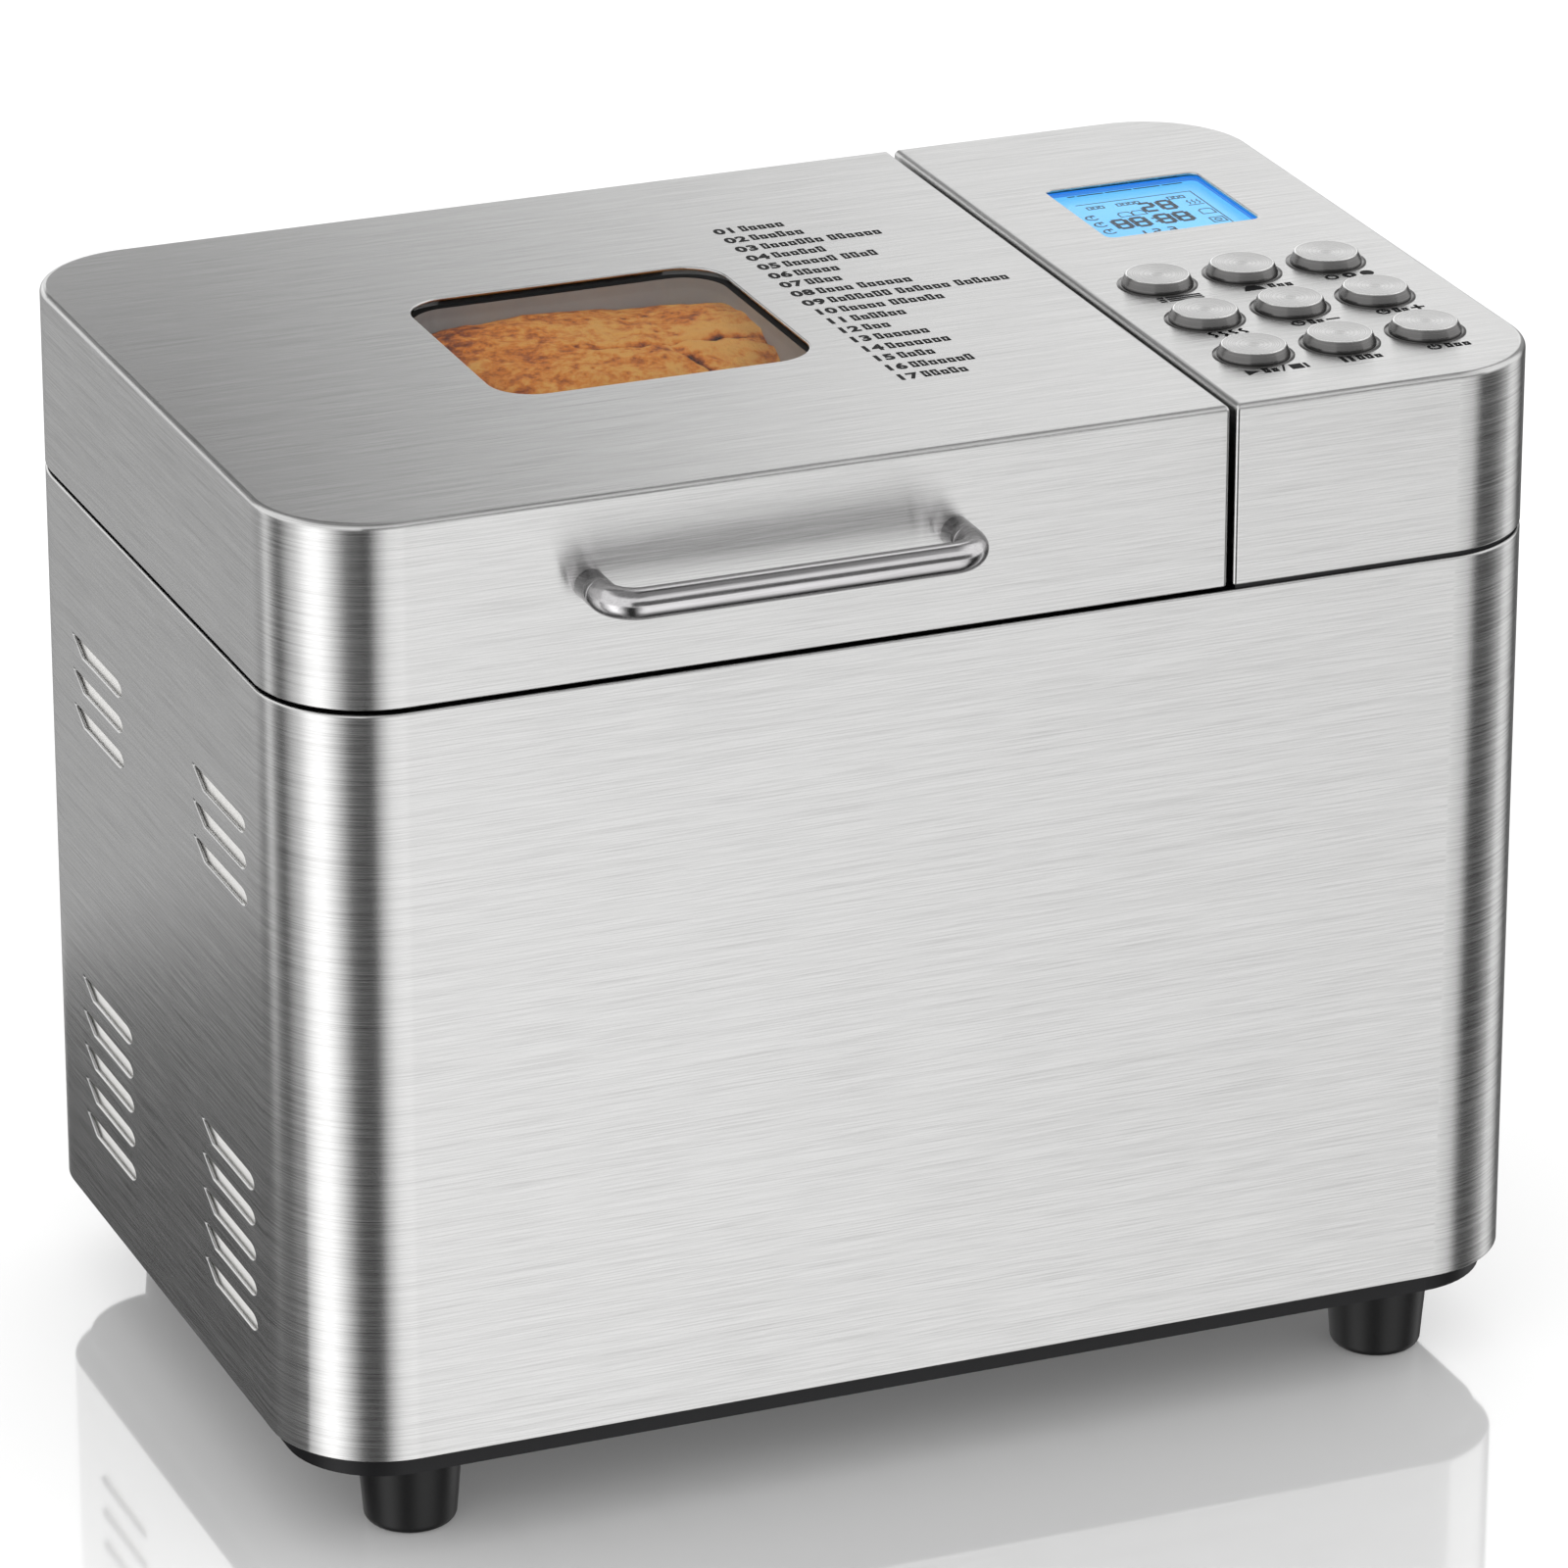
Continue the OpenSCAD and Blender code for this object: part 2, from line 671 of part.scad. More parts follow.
// A flat loop round both pulleys: an arc on each and two straight runs between,
// which lean in by the same angle because the pulleys differ in size
module drive_belt() color("#202020") at_oven() translate([0, 0, belt_z]) {
    lean = asin((pulley_r - small_r) / belt_span);
    run = sqrt(pow(belt_span, 2) - pow(pulley_r - small_r, 2));
    big = pulley_r + belt_gap;
    rotate([0, 0, 90 - lean]) rotate_extrude(angle = 180 + 2 * lean, $fn = 96)
        translate([big, 0]) square([belt_t, belt_h]);
    translate([belt_span, 0, 0]) rotate([0, 0, lean - 90])
        rotate_extrude(angle = 180 - 2 * lean)
            translate([small_r + belt_gap, 0]) square([belt_t, belt_h]);
    rotate([0, 0, -lean]) translate([0, big, 0]) cube([run, belt_t, belt_h]);
    rotate([0, 0, lean]) translate([0, -big - belt_t, 0]) cube([run, belt_t, belt_h]);
}

module at_motor() at_body() translate([motor_x, 0, 0]) children();

module motor_case() color("silver") at_motor() difference() {
    union() {
        translate([0, 0, chassis_top]) linear_extrude(3)
            rounded_rect(motor_flange, motor_flange, 10);
        translate([0, 0, chassis_top]) cylinder(r = motor_r, h = motor_h);
        translate([0, 0, housing_z + 1]) cylinder(r = 13.8, h = chassis_top - housing_z);
        translate([0, 0, chassis_top + motor_h]) cylinder(r = 12, h = 5);
    }
    translate([0, 0, rotor_z - 2]) cylinder(r = rotor_r + 1, h = rotor_h + 4);
    translate([0, 0, housing_z]) cylinder(r = shaft_r + run_gap, h = motor_h + 8);
    for (i = [0 : 11]) rotate([0, 0, i * 30])
        translate([33, 0, chassis_top + motor_h - 6]) cylinder(r = 2.6, h = 8);
}

module motor_rotor() color("gray") at_motor() {
    translate([0, 0, pulley_z - 2]) cylinder(r = shaft_r, h = chassis_top + motor_h - pulley_z);
    translate([0, 0, rotor_z]) tube(rotor_r, shaft_r, rotor_h);
}

module motor_pulley() color("#303030") at_motor() translate([0, 0, pulley_z]) difference() {
    belt_pulley(small_r, 3);
    translate([0, 0, -cut]) cylinder(r = shaft_r, h = pulley_h + 2 * cut);
}

module motor_capacitor() color("whitesmoke") at_body()
    translate([88, -70, chassis_top + 14]) {
        rod_x(52, 14);
        for (y = [-5, 5]) translate([52, y - 0.4, -3]) cube([6, 0.8, 6]);
    }

// ---- Electronics ---------------------------------------------------------

module power_board() color("darkgreen") at_body() {
    translate([power_xy[0] - power_box[0] / 2, power_xy[1] - power_box[1] / 2, power_z])
        cube([power_box[0], power_box[1], board_t]);
    // Relay, fuse holder and cable header
    translate([70, 52, power_z + board_t]) cube([18, 15, 16]);
    translate([70, 76, power_z + board_t]) cube([22, 8, 9]);
    translate([power_xy[0] - ribbon_w / 2 + 14, ribbon_y - 3, power_z + board_t])
        cube([ribbon_w + 4, 2.6, 9]);
}

module transformer() color("#8a7a50") at_body() translate([96, 50, power_z + board_t]) {
    cube([36, 18, 30]);
    translate([6, -3, 5]) cube([24, 24 - 3, 20]);
}

module ribbon_cable() color("gainsboro") at_body()
    translate([power_xy[0] - ribbon_w / 2 + 16, ribbon_y - 0.4, power_z + board_t])
        cube([ribbon_w, 0.8, control_z - power_z - board_t]);

// ---- Control panel -------------------------------------------------------

module at_button(col, row)
    translate([button_x + (col - 1) * button_pitch_x, button_y + (1 - row) * button_pitch_y, 0])
        children();

module control_housing() color("silver") at_body() difference() {
    translate([0, 0, lid_z]) linear_extrude(top_z - lid_z) plan_right(panel_x);
    translate([0, 0, lid_z - cut]) linear_extrude(skin_z - lid_z + cut)
        plan_right(panel_x + shell_t, shell_t);
    for (col = [0 : 2], row = [0 : 2]) at_button(col, row)
        translate([0, 0, skin_z - cut]) cylinder(r = hole_r, h = 5);
    translate([display_x, display_y, skin_z - cut]) linear_extrude(5)
        rounded_rect(display_w, display_d, display_r);
}

module control_frame() color("#303030") at_body() difference() {
    translate([0, 0, deck_top]) linear_extrude(control_z - deck_top)
        plan_right(panel_x + shell_t + skin_gap, shell_t + skin_gap);
    translate([0, 0, deck_top - cut]) linear_extrude(shelf_z - deck_top + cut)
        plan_right(panel_x + shell_t + 2.5, shell_t + 2.5);
    translate([board_x + 4, board_front + 4, shelf_z - cut])
        cube([board_w - 8, board_back - board_front - 8, shelf_t + 2 * cut]);
}

module control_board() color("darkgreen") at_body()
    translate([board_x, board_front, control_z])
        cube([board_w, board_back - board_front, board_t]);

module tact_switches() color("#282828") at_body()
    for (col = [0 : 2], row = [0 : 2]) at_button(col, row)
        translate([0, 0, control_z + board_t]) {
            translate([-3, -3, 0]) cube([6, 6, switch_h - 1.5]);
            cylinder(r = 1.7, h = switch_h);
        }

module display_module() color("lightblue") at_body()
    translate([display_x, display_y, control_z + board_t]) linear_extrude(6)
        rounded_rect(display_w + 6, display_d + 4, 1);

module display_lens() color("lightblue") at_body()
    translate([display_x, display_y, skin_z - lens_t]) linear_extrude(lens_t)
        rounded_rect(display_w + 2 * lens_lap, display_d + 2 * lens_lap, display_r);

// A spun cap: stem, retaining flange, straight skirt and chamfered crown
module button(col, row) color("silver") at_body() at_button(col, row) rotate_extrude() polygon([
    [0, control_z + board_t + switch_h + button_travel + 0.2],
    [3, control_z + board_t + switch_h + button_travel + 0.2],
    [3, skin_z - free_gap - flange_t],
    [button_d / 2 + 1.4, skin_z - free_gap - flange_t],
    [button_d / 2 + 1.4, skin_z - free_gap],
    [button_d / 2, skin_z - free_gap],
    [button_d / 2, top_z + 0.9],
    [button_d / 2 - 1.4, top_z + button_proud],
    [0, top_z + button_proud - 0.3]]);

module menu_button() button(0, 0);
module weight_button() button(1, 0);
module color_button() button(2, 0);
module bake_button() button(0, 1);
module time_minus_button() button(1, 1);
module time_plus_button() button(2, 1);
module start_button() button(0, 2);
module pause_button() button(1, 2);
module power_button() button(2, 2);

// ---- Lid -----------------------------------------------------------------

module lid_shell() color("silver") at_body() difference() {
    translate([0, 0, lid_z]) linear_extrude(top_z - lid_z) plan_left(lid_right);
    translate([0, 0, lid_z - cut]) linear_extrude(skin_z - lid_z + cut)
        plan_left(lid_right - shell_t, shell_t);
    translate([window_x, window_y, skin_z - cut]) linear_extrude(5)
        rounded_rect(window_w, window_d, window_r);
    for (s = [-1, 1]) translate([handle_x + s * handle_span / 2, -body_d / 2 - 5, handle_z])
        rod_y(10, screw_r);
}

module lid_frame() color("#303030") at_body() difference() {
    translate([0, 0, frame_z]) linear_extrude(frame_t)
        plan_left(lid_right - shell_t - skin_gap, shell_t + skin_gap);
    translate([oven_x, 0, frame_z - cut]) linear_extrude(frame_t + 2 * cut)
        rounded_rect(liner_w, liner_d, liner_r);
}

module lid_liner() color("gainsboro") at_body() difference() {
    translate([oven_x, 0, 0]) union() {
        translate([0, 0, frame_z]) linear_extrude(liner_top - frame_z)
            rounded_rect(liner_w - 2 * skin_gap, liner_d - 2 * skin_gap, liner_r - skin_gap);
        translate([0, 0, frame_z + frame_t]) linear_extrude(oven_t)
            rounded_rect(liner_w + 12, liner_d + 12, liner_r + 6);
    }
    translate([oven_x, 0, frame_z - cut]) linear_extrude(liner_top - oven_t - frame_z + cut)
        rounded_rect(liner_w - 2 * oven_t, liner_d - 2 * oven_t, liner_r - oven_t);
    translate([window_x, window_y, liner_top - 5]) linear_extrude(10)
        rounded_rect(window_w, window_d, window_r);
}

module lid_glass() color("lightcyan", 0.4) at_body()
    translate([window_x, window_y, skin_z - glass_t]) linear_extrude(glass_t)
        rounded_rect(window_w + 2 * glass_lap, window_d + 2 * glass_lap, window_r + glass_lap);

// Frame that holds the glass up against the lid and closes the gap to the liner
module window_frame() color("#282828") at_body() translate([window_x, window_y, 0]) difference() {
    translate([0, 0, liner_top]) linear_extrude(skin_z - liner_top)
        rounded_rect(window_w + 2 * window_wall, window_d + 2 * window_wall,
                     window_r + window_wall);
    translate([0, 0, liner_top - cut]) linear_extrude(30)
        rounded_rect(window_w, window_d, window_r);
    translate([0, 0, skin_z - glass_t]) linear_extrude(30)
        rounded_rect(window_w + 2 * glass_lap, window_d + 2 * glass_lap, window_r + glass_lap);
}

module lid_gasket() color("#d8d4cc") at_oven()
    translate([0, 0, oven_flange_top + 0.3]) linear_extrude(frame_z - oven_flange_top - 0.3)
        difference() {
            rounded_rect(oven_w + 2 * (gasket_in + gasket_w), oven_d + 2 * (gasket_in + gasket_w),
                         oven_r + gasket_in + gasket_w);
            rounded_rect(oven_w + 2 * gasket_in, oven_d + 2 * gasket_in, oven_r + gasket_in);
        }

module lid_handle() color("silver") at_body()
    translate([handle_x, -body_d / 2, handle_z]) difference() {
        union() {
            for (s = [-1, 1]) {
                translate([s * handle_span / 2, -handle_reach + handle_bend, 0])
                    rod_y(handle_reach - handle_bend, handle_bar_d / 2);
                translate([s * (handle_span / 2 - handle_bend), -handle_reach + handle_bend, 0])
                    rotate([0, 0, s > 0 ? -90 : 180])
                        rod_bend_quarter(handle_bend, handle_bar_d / 2);
            }
            translate([-handle_span / 2 + handle_bend, -handle_reach, 0])
                rod_x(handle_span - 2 * handle_bend, handle_bar_d / 2);
        }
        for (s = [-1, 1]) translate([s * handle_span / 2, -8, 0]) rod_y(10, screw_r);
    }

module handle_screws() color("silver") at_body()
    for (s = [-1, 1])
        translate([handle_x + s * handle_span / 2, -body_d / 2 + shell_t, handle_z])
            rotate([90, 0, 0]) {
                cylinder(r = screw_r, h = 8);
                translate([0, 0, -head_h]) cylinder(r = head_r, h = head_h);
            }

// ---- Hinges --------------------------------------------------------------

module at_hinges() at_body() for (x = hinge_xs) translate([x, hinge_y, hinge_z]) children();

module hinge_arms() color("#303030") at_hinges() difference() {
    union() {
        translate([-knuckle_w / 2, 0, 0]) rod_x(knuckle_w, hinge_r);
        // Web up from the knuckle to the leaf on the lid's back
        translate([-knuckle_w / 2, -leaf_t, 0]) cube([knuckle_w, leaf_t, 14]);
        translate([-knuckle_w / 2, -hinge_back, 9]) cube([knuckle_w, hinge_back, 5]);
        translate([-leaf_w / 2, -hinge_back, 9]) cube([leaf_w, leaf_t, 20]);
    }
    translate([-knuckle_w, 0, 0]) rod_x(2 * knuckle_w, pin_r + run_gap);
}

module hinge_brackets() color("#303030") at_hinges() difference() {
    union() {
        for (s = [-1, 1]) {
            translate([s > 0 ? knuckle_w / 2 + free_gap : -leaf_w / 2, 0, 0]) rod_x(ear_w, hinge_r);
            translate([s > 0 ? knuckle_w / 2 + free_gap : -leaf_w / 2, -hinge_back, -12])
                cube([ear_w, hinge_back, 9]);
        }
        translate([-leaf_w / 2, -hinge_back, -30]) cube([leaf_w, leaf_t, 23]);
    }
    translate([-leaf_w, 0, 0]) rod_x(2 * leaf_w, pin_r);
}

module hinge_pins() color("silver") at_hinges()
    translate([-leaf_w / 2, 0, 0]) rod_x(leaf_w, pin_r);

// ---- Assembly ------------------------------------------------------------

base_tray();
feet();
case_screws();
chassis_plate();
body_shell();
rear_panel();
vent_baffles();
top_deck();
cord_gland();
oven_liner();
heating_element();
pan_socket();
temperature_sensor();
thermal_fuse();
drive_housing();
drive_bearings();
drive_shaft();
drive_pulley();
drive_coupling();
drive_belt();
motor_case();
motor_rotor();
motor_pulley();
motor_capacitor();
power_board();
transformer();
ribbon_cable();
bread_pan();
pan_foot();
pan_bushing();
pan_handle();
paddle_shaft();
pan_coupling();
kneading_paddle();
control_housing();
control_frame();
control_board();
tact_switches();
display_module();
display_lens();
menu_button();
weight_button();
color_button();
bake_button();
time_minus_button();
time_plus_button();
start_button();
pause_button();
power_button();
lid_shell();
lid_frame();
lid_liner();
lid_glass();
window_frame();
lid_gasket();
lid_handle();
handle_screws();
hinge_arms();
hinge_brackets();
hinge_pins();
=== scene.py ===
import math
import random
import bmesh
import bpy
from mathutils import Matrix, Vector, noise


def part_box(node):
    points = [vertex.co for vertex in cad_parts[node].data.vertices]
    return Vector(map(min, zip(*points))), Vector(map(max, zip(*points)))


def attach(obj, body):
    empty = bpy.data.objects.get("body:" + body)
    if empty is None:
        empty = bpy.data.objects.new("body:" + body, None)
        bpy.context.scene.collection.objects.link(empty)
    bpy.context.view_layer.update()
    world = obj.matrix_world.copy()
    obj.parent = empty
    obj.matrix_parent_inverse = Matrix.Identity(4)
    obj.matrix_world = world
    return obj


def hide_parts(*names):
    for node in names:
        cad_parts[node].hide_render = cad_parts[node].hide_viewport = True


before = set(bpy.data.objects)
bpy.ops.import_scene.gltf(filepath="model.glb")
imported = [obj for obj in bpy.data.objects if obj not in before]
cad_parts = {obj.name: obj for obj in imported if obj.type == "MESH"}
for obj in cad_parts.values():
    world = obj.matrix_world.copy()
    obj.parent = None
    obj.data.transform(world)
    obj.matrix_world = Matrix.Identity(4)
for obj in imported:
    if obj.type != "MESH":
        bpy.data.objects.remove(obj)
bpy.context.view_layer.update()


# ---- The studio ---------------------------------------------------------------
# A white sweep under a machine that stands on its own feet. The camera looks
# down on it from the front left. Nothing here is part of the machine.

low_corner, high_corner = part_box("body_shell")
body_mid_y = (low_corner.y + high_corner.y) / 2

camera_data = bpy.data.cameras.new("camera")
camera_data.sensor_width = 36
camera_data.lens = 202.71
camera_data.clip_start, camera_data.clip_end = 0.1, 60
camera = bpy.data.objects.new("camera", camera_data)
bpy.context.scene.collection.objects.link(camera)
bpy.context.scene.camera = camera
CAMERA_TURN, CAMERA_RISE = math.radians(-22.174), math.radians(22.237)
CAMERA_AWAY = 2.308
CAMERA_AIM = Vector((0.0022, body_mid_y, 0.1463))
camera_back = Vector((math.sin(CAMERA_TURN) * math.cos(CAMERA_RISE),
                      -math.cos(CAMERA_TURN) * math.cos(CAMERA_RISE),
                      math.sin(CAMERA_RISE)))
camera.location = CAMERA_AIM + CAMERA_AWAY * camera_back
camera.rotation_mode = "QUATERNION"
camera.rotation_quaternion = (-camera_back).to_track_quat("-Z", "Y")
bpy.context.scene.view_settings.view_transform = "Standard"


def node(tree, kind, sources=None, **settings):
    """One shader node; a source is a socket to link from or a plain value."""
    made = tree.nodes.new(kind)
    for name, value in settings.items():
        setattr(made, name, value)
    for name, value in (sources or {}).items():
        if isinstance(value, bpy.types.NodeSocket):
            tree.links.new(value, made.inputs[name])
        else:
            made.inputs[name].default_value = value
    return made


def arithmetic(tree, operation, *values, clamp=False):
    made = tree.nodes.new("ShaderNodeMath")
    made.operation, made.use_clamp = operation, clamp
    for socket, value in zip(made.inputs, values):
        if isinstance(value, bpy.types.NodeSocket):
            tree.links.new(value, socket)
        else:
            socket.default_value = value
    return made.outputs[0]


def ramp(tree, factor, stops):
    """A colour ramp; each stop is a place and a grey or a colour."""
    made = node(tree, "ShaderNodeValToRGB", {"Fac": factor})
    marks = made.color_ramp.elements
    while len(marks) < len(stops):
        marks.new(0.5)
    for mark, (place, shade) in zip(marks, stops):
        mark.position = place
        mark.color = (*shade, 1) if isinstance(shade, tuple) else (shade, shade, shade, 1)
    return made.outputs["Color"]


def spread(tree, value, low, high, to_low=0.0, to_high=1.0, **settings):
    """Stretches low..high over to_low..to_high and holds it there beyond."""
    made = node(tree, "ShaderNodeMapRange", {"Value": value, "From Min": low, "From Max": high,
                                             "To Min": to_low, "To Max": to_high}, **settings)
    return made.outputs["Result"]


def blend(tree, factor, *pair):
    """A colour between two; each is a socket or a plain colour."""
    a, b = [c if isinstance(c, bpy.types.NodeSocket) else (*c, 1) for c in pair]
    return node(tree, "ShaderNodeMix", {0: factor, 6: a, 7: b}, data_type="RGBA").outputs[2]


def scaled(tree, vector, by):
    return node(tree, "ShaderNodeVectorMath", {0: vector, "Scale": by}, operation="SCALE").outputs[0]


def object_place(tree):
    return node(tree, "ShaderNodeTexCoord").outputs["Object"]


# What polished steel sees round the machine below eye level: compass bearing in
# degrees from +X towards +Y, and brightness. The dark stretches are black flags.
FLAGS_AND_BOXES = (
    (2, 0.85), (12, 1.05), (22, 0.65), (31, 0.03), (42, 0.12), (54, 0.32), (66, 0.26),
    (112, 0.5), (132, 0.34), (142, 1.1), (150, 0.25), (160, 0.0), (171, 0.6), (181, 1.0),
    (192, 1.75), (203, 1.95), (212, 1.4), (222, 0.65), (231, 0.12), (238, 0.0), (247, 0.0),
    (254, 0.12), (263, 0.8), (272, 1.3), (286, 1.4), (300, 1.04), (313, 0.9), (322, 0.12),
    (328, 0.0), (338, 0.0), (346, 0.08), (354, 0.35))
# The same above eye level
OVERHEAD = (
    (0, 1.15), (20, 1.1), (30, 0.3), (54, 0.3), (62, 1.15), (110, 1.2), (200, 1.05), (360, 1.15))
PEAK = 2.0                      # brightness that a ramp's white stands for

world = bpy.data.worlds.new("studio")
bpy.context.scene.world = world
world.use_nodes = True
world.cycles.sampling_method = "NONE"
sky = world.node_tree
sky.nodes.clear()
direction = node(sky, "ShaderNodeSeparateXYZ",
                 {"Vector": node(sky, "ShaderNodeTexCoord").outputs["Generated"]})
bearing = arithmetic(sky, "ARCTAN2", direction.outputs["Y"], direction.outputs["X"])
bearing = arithmetic(sky, "FRACT", arithmetic(sky, "DIVIDE", bearing, math.tau))
low_light = ramp(sky, bearing, [(turn / 360, shade / PEAK) for turn, shade in FLAGS_AND_BOXES])
height = direction.outputs["Z"]
high_light = ramp(sky, bearing, [(turn / 360, shade / PEAK) for turn, shade in OVERHEAD])
rise = spread(sky, height, -0.10, 0.04, interpolation_type="SMOOTHSTEP")
near_floor = spread(sky, height, -0.95, -0.6, 0.15, 1.0, interpolation_type="SMOOTHSTEP")
straight_up = spread(sky, height, 0.76, 0.92, 1.0, 0.25, interpolation_type="SMOOTHSTEP")
seen = scaled(sky, scaled(sky, blend(sky, rise, low_light, high_light), near_floor), straight_up)
path = node(sky, "ShaderNodeLightPath")
polished = node(sky, "ShaderNodeBackground", {"Color": seen, "Strength": PEAK})
soft = node(sky, "ShaderNodeBackground", {"Color": (1, 1, 1, 1), "Strength": 1.34})
chosen = node(sky, "ShaderNodeMixShader", {0: path.outputs["Is Glossy Ray"], 1: soft.outputs[0],
                                           2: polished.outputs[0]})
node(sky, "ShaderNodeOutputWorld", {"Surface": chosen.outputs[0]})


def new_object(name, mesh, place=(0, 0, 0)):
    made = bpy.data.objects.new(name, mesh)
    made.location = place
    bpy.context.scene.collection.objects.link(made)
    return made


def card(name, corners, stops, across):
    """A lighting card that only polished things see; its shade runs along one axis."""
    mesh = bpy.data.meshes.new(name)
    mesh.from_pydata(corners, [], [(0, 1, 2, 3)])
    made = new_object(name, mesh)
    finish = bpy.data.materials.new(name)
    finish.use_nodes = True
    finish.cycles.emission_sampling = "NONE"
    tree = finish.node_tree
    tree.nodes.clear()
    axis, start, end = across
    spot = node(tree, "ShaderNodeSeparateXYZ", {"Vector": object_place(tree)})
    along = spread(tree, spot.outputs[axis], start, end)
    glow = node(tree, "ShaderNodeEmission", {"Color": ramp(tree, along, stops), "Strength": PEAK})
    node(tree, "ShaderNodeOutputMaterial", {"Surface": glow.outputs[0]})
    mesh.materials.append(finish)
    made.visible_camera = made.visible_diffuse = made.visible_shadow = False
    made.visible_transmission = made.visible_volume_scatter = False
    return made


card("back_card", [(-0.5, 0.56, 0.45), (0.62, 0.56, 0.45), (0.62, 0.56, 1.6), (-0.5, 0.56, 1.6)],
     [(0.0, 0.1), (0.47, 0.1), (0.58, 0.29), (0.65, 0.43), (0.7, 0.54), (0.8, 0.6), (0.92, 0.7)],
     ("X", -0.5, 0.62))
card("front_card", [(-0.5, -0.95, 0.29), (1.3, -0.95, 0.29), (1.3, -0.95, 0.80), (-0.5, -0.95, 0.80)],
     [(0.0, 0.05), (1.0, 0.08)], ("X", -0.5, 1.3))
card("left_card", [(-0.17, -0.08, -0.02), (-0.5, -0.08, -0.02), (-0.5, 0.33, -0.02), (-0.17, 0.33, -0.02)],
     [(0.0, 0.08), (1.0, 0.03)], ("X", -0.5, -0.17))

floor_mesh = bpy.data.meshes.new("floor")
floor_mesh.from_pydata([(-9, -9, 0), (9, -9, 0), (9, 9, 0), (-9, 9, 0)], [], [(0, 1, 2, 3)])
floor = new_object("floor", floor_mesh)
floor.visible_glossy = False
gloss_white = bpy.data.materials.new("gloss_white_floor")
gloss_white.use_nodes = True
tree = gloss_white.node_tree
tree.nodes.clear()
matt = node(tree, "ShaderNodeBsdfDiffuse", {"Color": (0.74, 0.74, 0.74, 1)})
mirror = node(tree, "ShaderNodeBsdfGlossy", {"Color": (1, 1, 1, 1), "Roughness": 0.06})
both = node(tree, "ShaderNodeMixShader", {0: 0.37, 1: matt.outputs[0], 2: mirror.outputs[0]})
lift = node(tree, "ShaderNodeEmission", {"Color": (1, 1, 1, 1), "Strength": 0.09})
whole = node(tree, "ShaderNodeAddShader", {0: both.outputs[0], 1: lift.outputs[0]})
node(tree, "ShaderNodeOutputMaterial", {"Surface": whole.outputs[0]})
floor_mesh.materials.append(gloss_white)


# ---- Base tray ----------------------------------------------------------------
# A black moulded tray that everything else is screwed to. Its rim shows as the
# dark strip under the steel, and plated screws hold the feet and the skin to it.

def effect(name, inputs, outputs):
    """A shared effect: a shader node group with named inputs and outputs."""
    group = bpy.data.node_groups.new(name, "ShaderNodeTree")
    for label, kind, value in inputs:
        socket = group.interface.new_socket(label, in_out="INPUT", socket_type="NodeSocket" + kind)
        if value is not None:
            socket.default_value = value
    for label, kind in outputs:
        group.interface.new_socket(label, in_out="OUTPUT", socket_type="NodeSocket" + kind)
    return group, group.nodes.new("NodeGroupInput").outputs, group.nodes.new("NodeGroupOutput").inputs


def use(tree, group, **sources):
    """Places a shared effect in a material; a name's underscore is a space."""
    made = tree.nodes.new("ShaderNodeGroup")
    made.node_tree = group
    for name, value in sources.items():
        socket = made.inputs[name.replace("_", " ")]
        if isinstance(value, bpy.types.NodeSocket):
            tree.links.new(value, socket)
        else:
            socket.default_value = value
    return made.outputs


def mottled(tree, place, scale, detail=2.0, roughness=0.5, distortion=0.0):
    """Soft random patches: a number at each spot, about a half on average."""
    made = node(tree, "ShaderNodeTexNoise", {"Vector": place, "Scale": scale, "Detail": detail,
                                             "Roughness": roughness, "Distortion": distortion})
    return made.outputs["Fac"]


def make_brushing():
    """Fine scratches that all run the same way: X is along them, the rest across."""
    group, given, out = effect(
        "Brushed lines",
        [("Place", "Vector", None), ("Along", "Float", 45.0), ("Across", "Float", 2600.0)],
        [("Lines", "Float"), ("Height", "Float")])
    across = given["Across"]
    stretch = node(group, "ShaderNodeCombineXYZ", {"X": given["Along"], "Y": across, "Z": across})
    place = node(group, "ShaderNodeVectorMath", {0: given["Place"], 1: stretch.outputs[0]},
                 operation="MULTIPLY").outputs[0]
    fine = mottled(group, place, 1.0, 3.0, 0.65)
    broad = mottled(group, scaled(group, place, 0.21), 1.0)
    height = node(group, "ShaderNodeMix", {"Factor": 0.22, 2: fine, 3: broad}).outputs[0]
    group.links.new(spread(group, height, 0.32, 0.58), out["Lines"])
    group.links.new(height, out["Height"])
    return group


def make_handling():
    """Soft clouds where hands and cloths have dulled a finish."""
    group, given, out = effect(
        "Handling marks",
        [("Place", "Vector", None), ("Size", "Float", 14.0), ("Cover", "Float", 0.5)],
        [("Marks", "Float")])
    cloud = mottled(group, given["Place"], given["Size"], 4.0, 0.6, 0.4)
    edge = arithmetic(group, "SUBTRACT", 1.0, given["Cover"])
    marks = spread(group, cloud, edge, arithmetic(group, "ADD", edge, 0.25))
    group.links.new(marks, out["Marks"])
    return group


def make_edge_wear():
    """Where an outward edge has rubbed bright, broken up so that it isn't even."""
    group, given, out = effect(
        "Edge wear",
        [("Place", "Vector", None), ("Amount", "Float", 0.5), ("Grain", "Float", 180.0)],
        [("Wear", "Float")])
    point = node(group, "ShaderNodeNewGeometry").outputs["Pointiness"]
    patch = mottled(group, given["Place"], given["Grain"], 3.0)
    broken = arithmetic(group, "MULTIPLY", spread(group, point, 0.51, 0.58), patch)
    group.links.new(arithmetic(group, "MULTIPLY", broken, given["Amount"], clamp=True), out["Wear"])
    return group


BRUSHED_LINES, HANDLING_MARKS, EDGE_WEAR = make_brushing(), make_handling(), make_edge_wear()


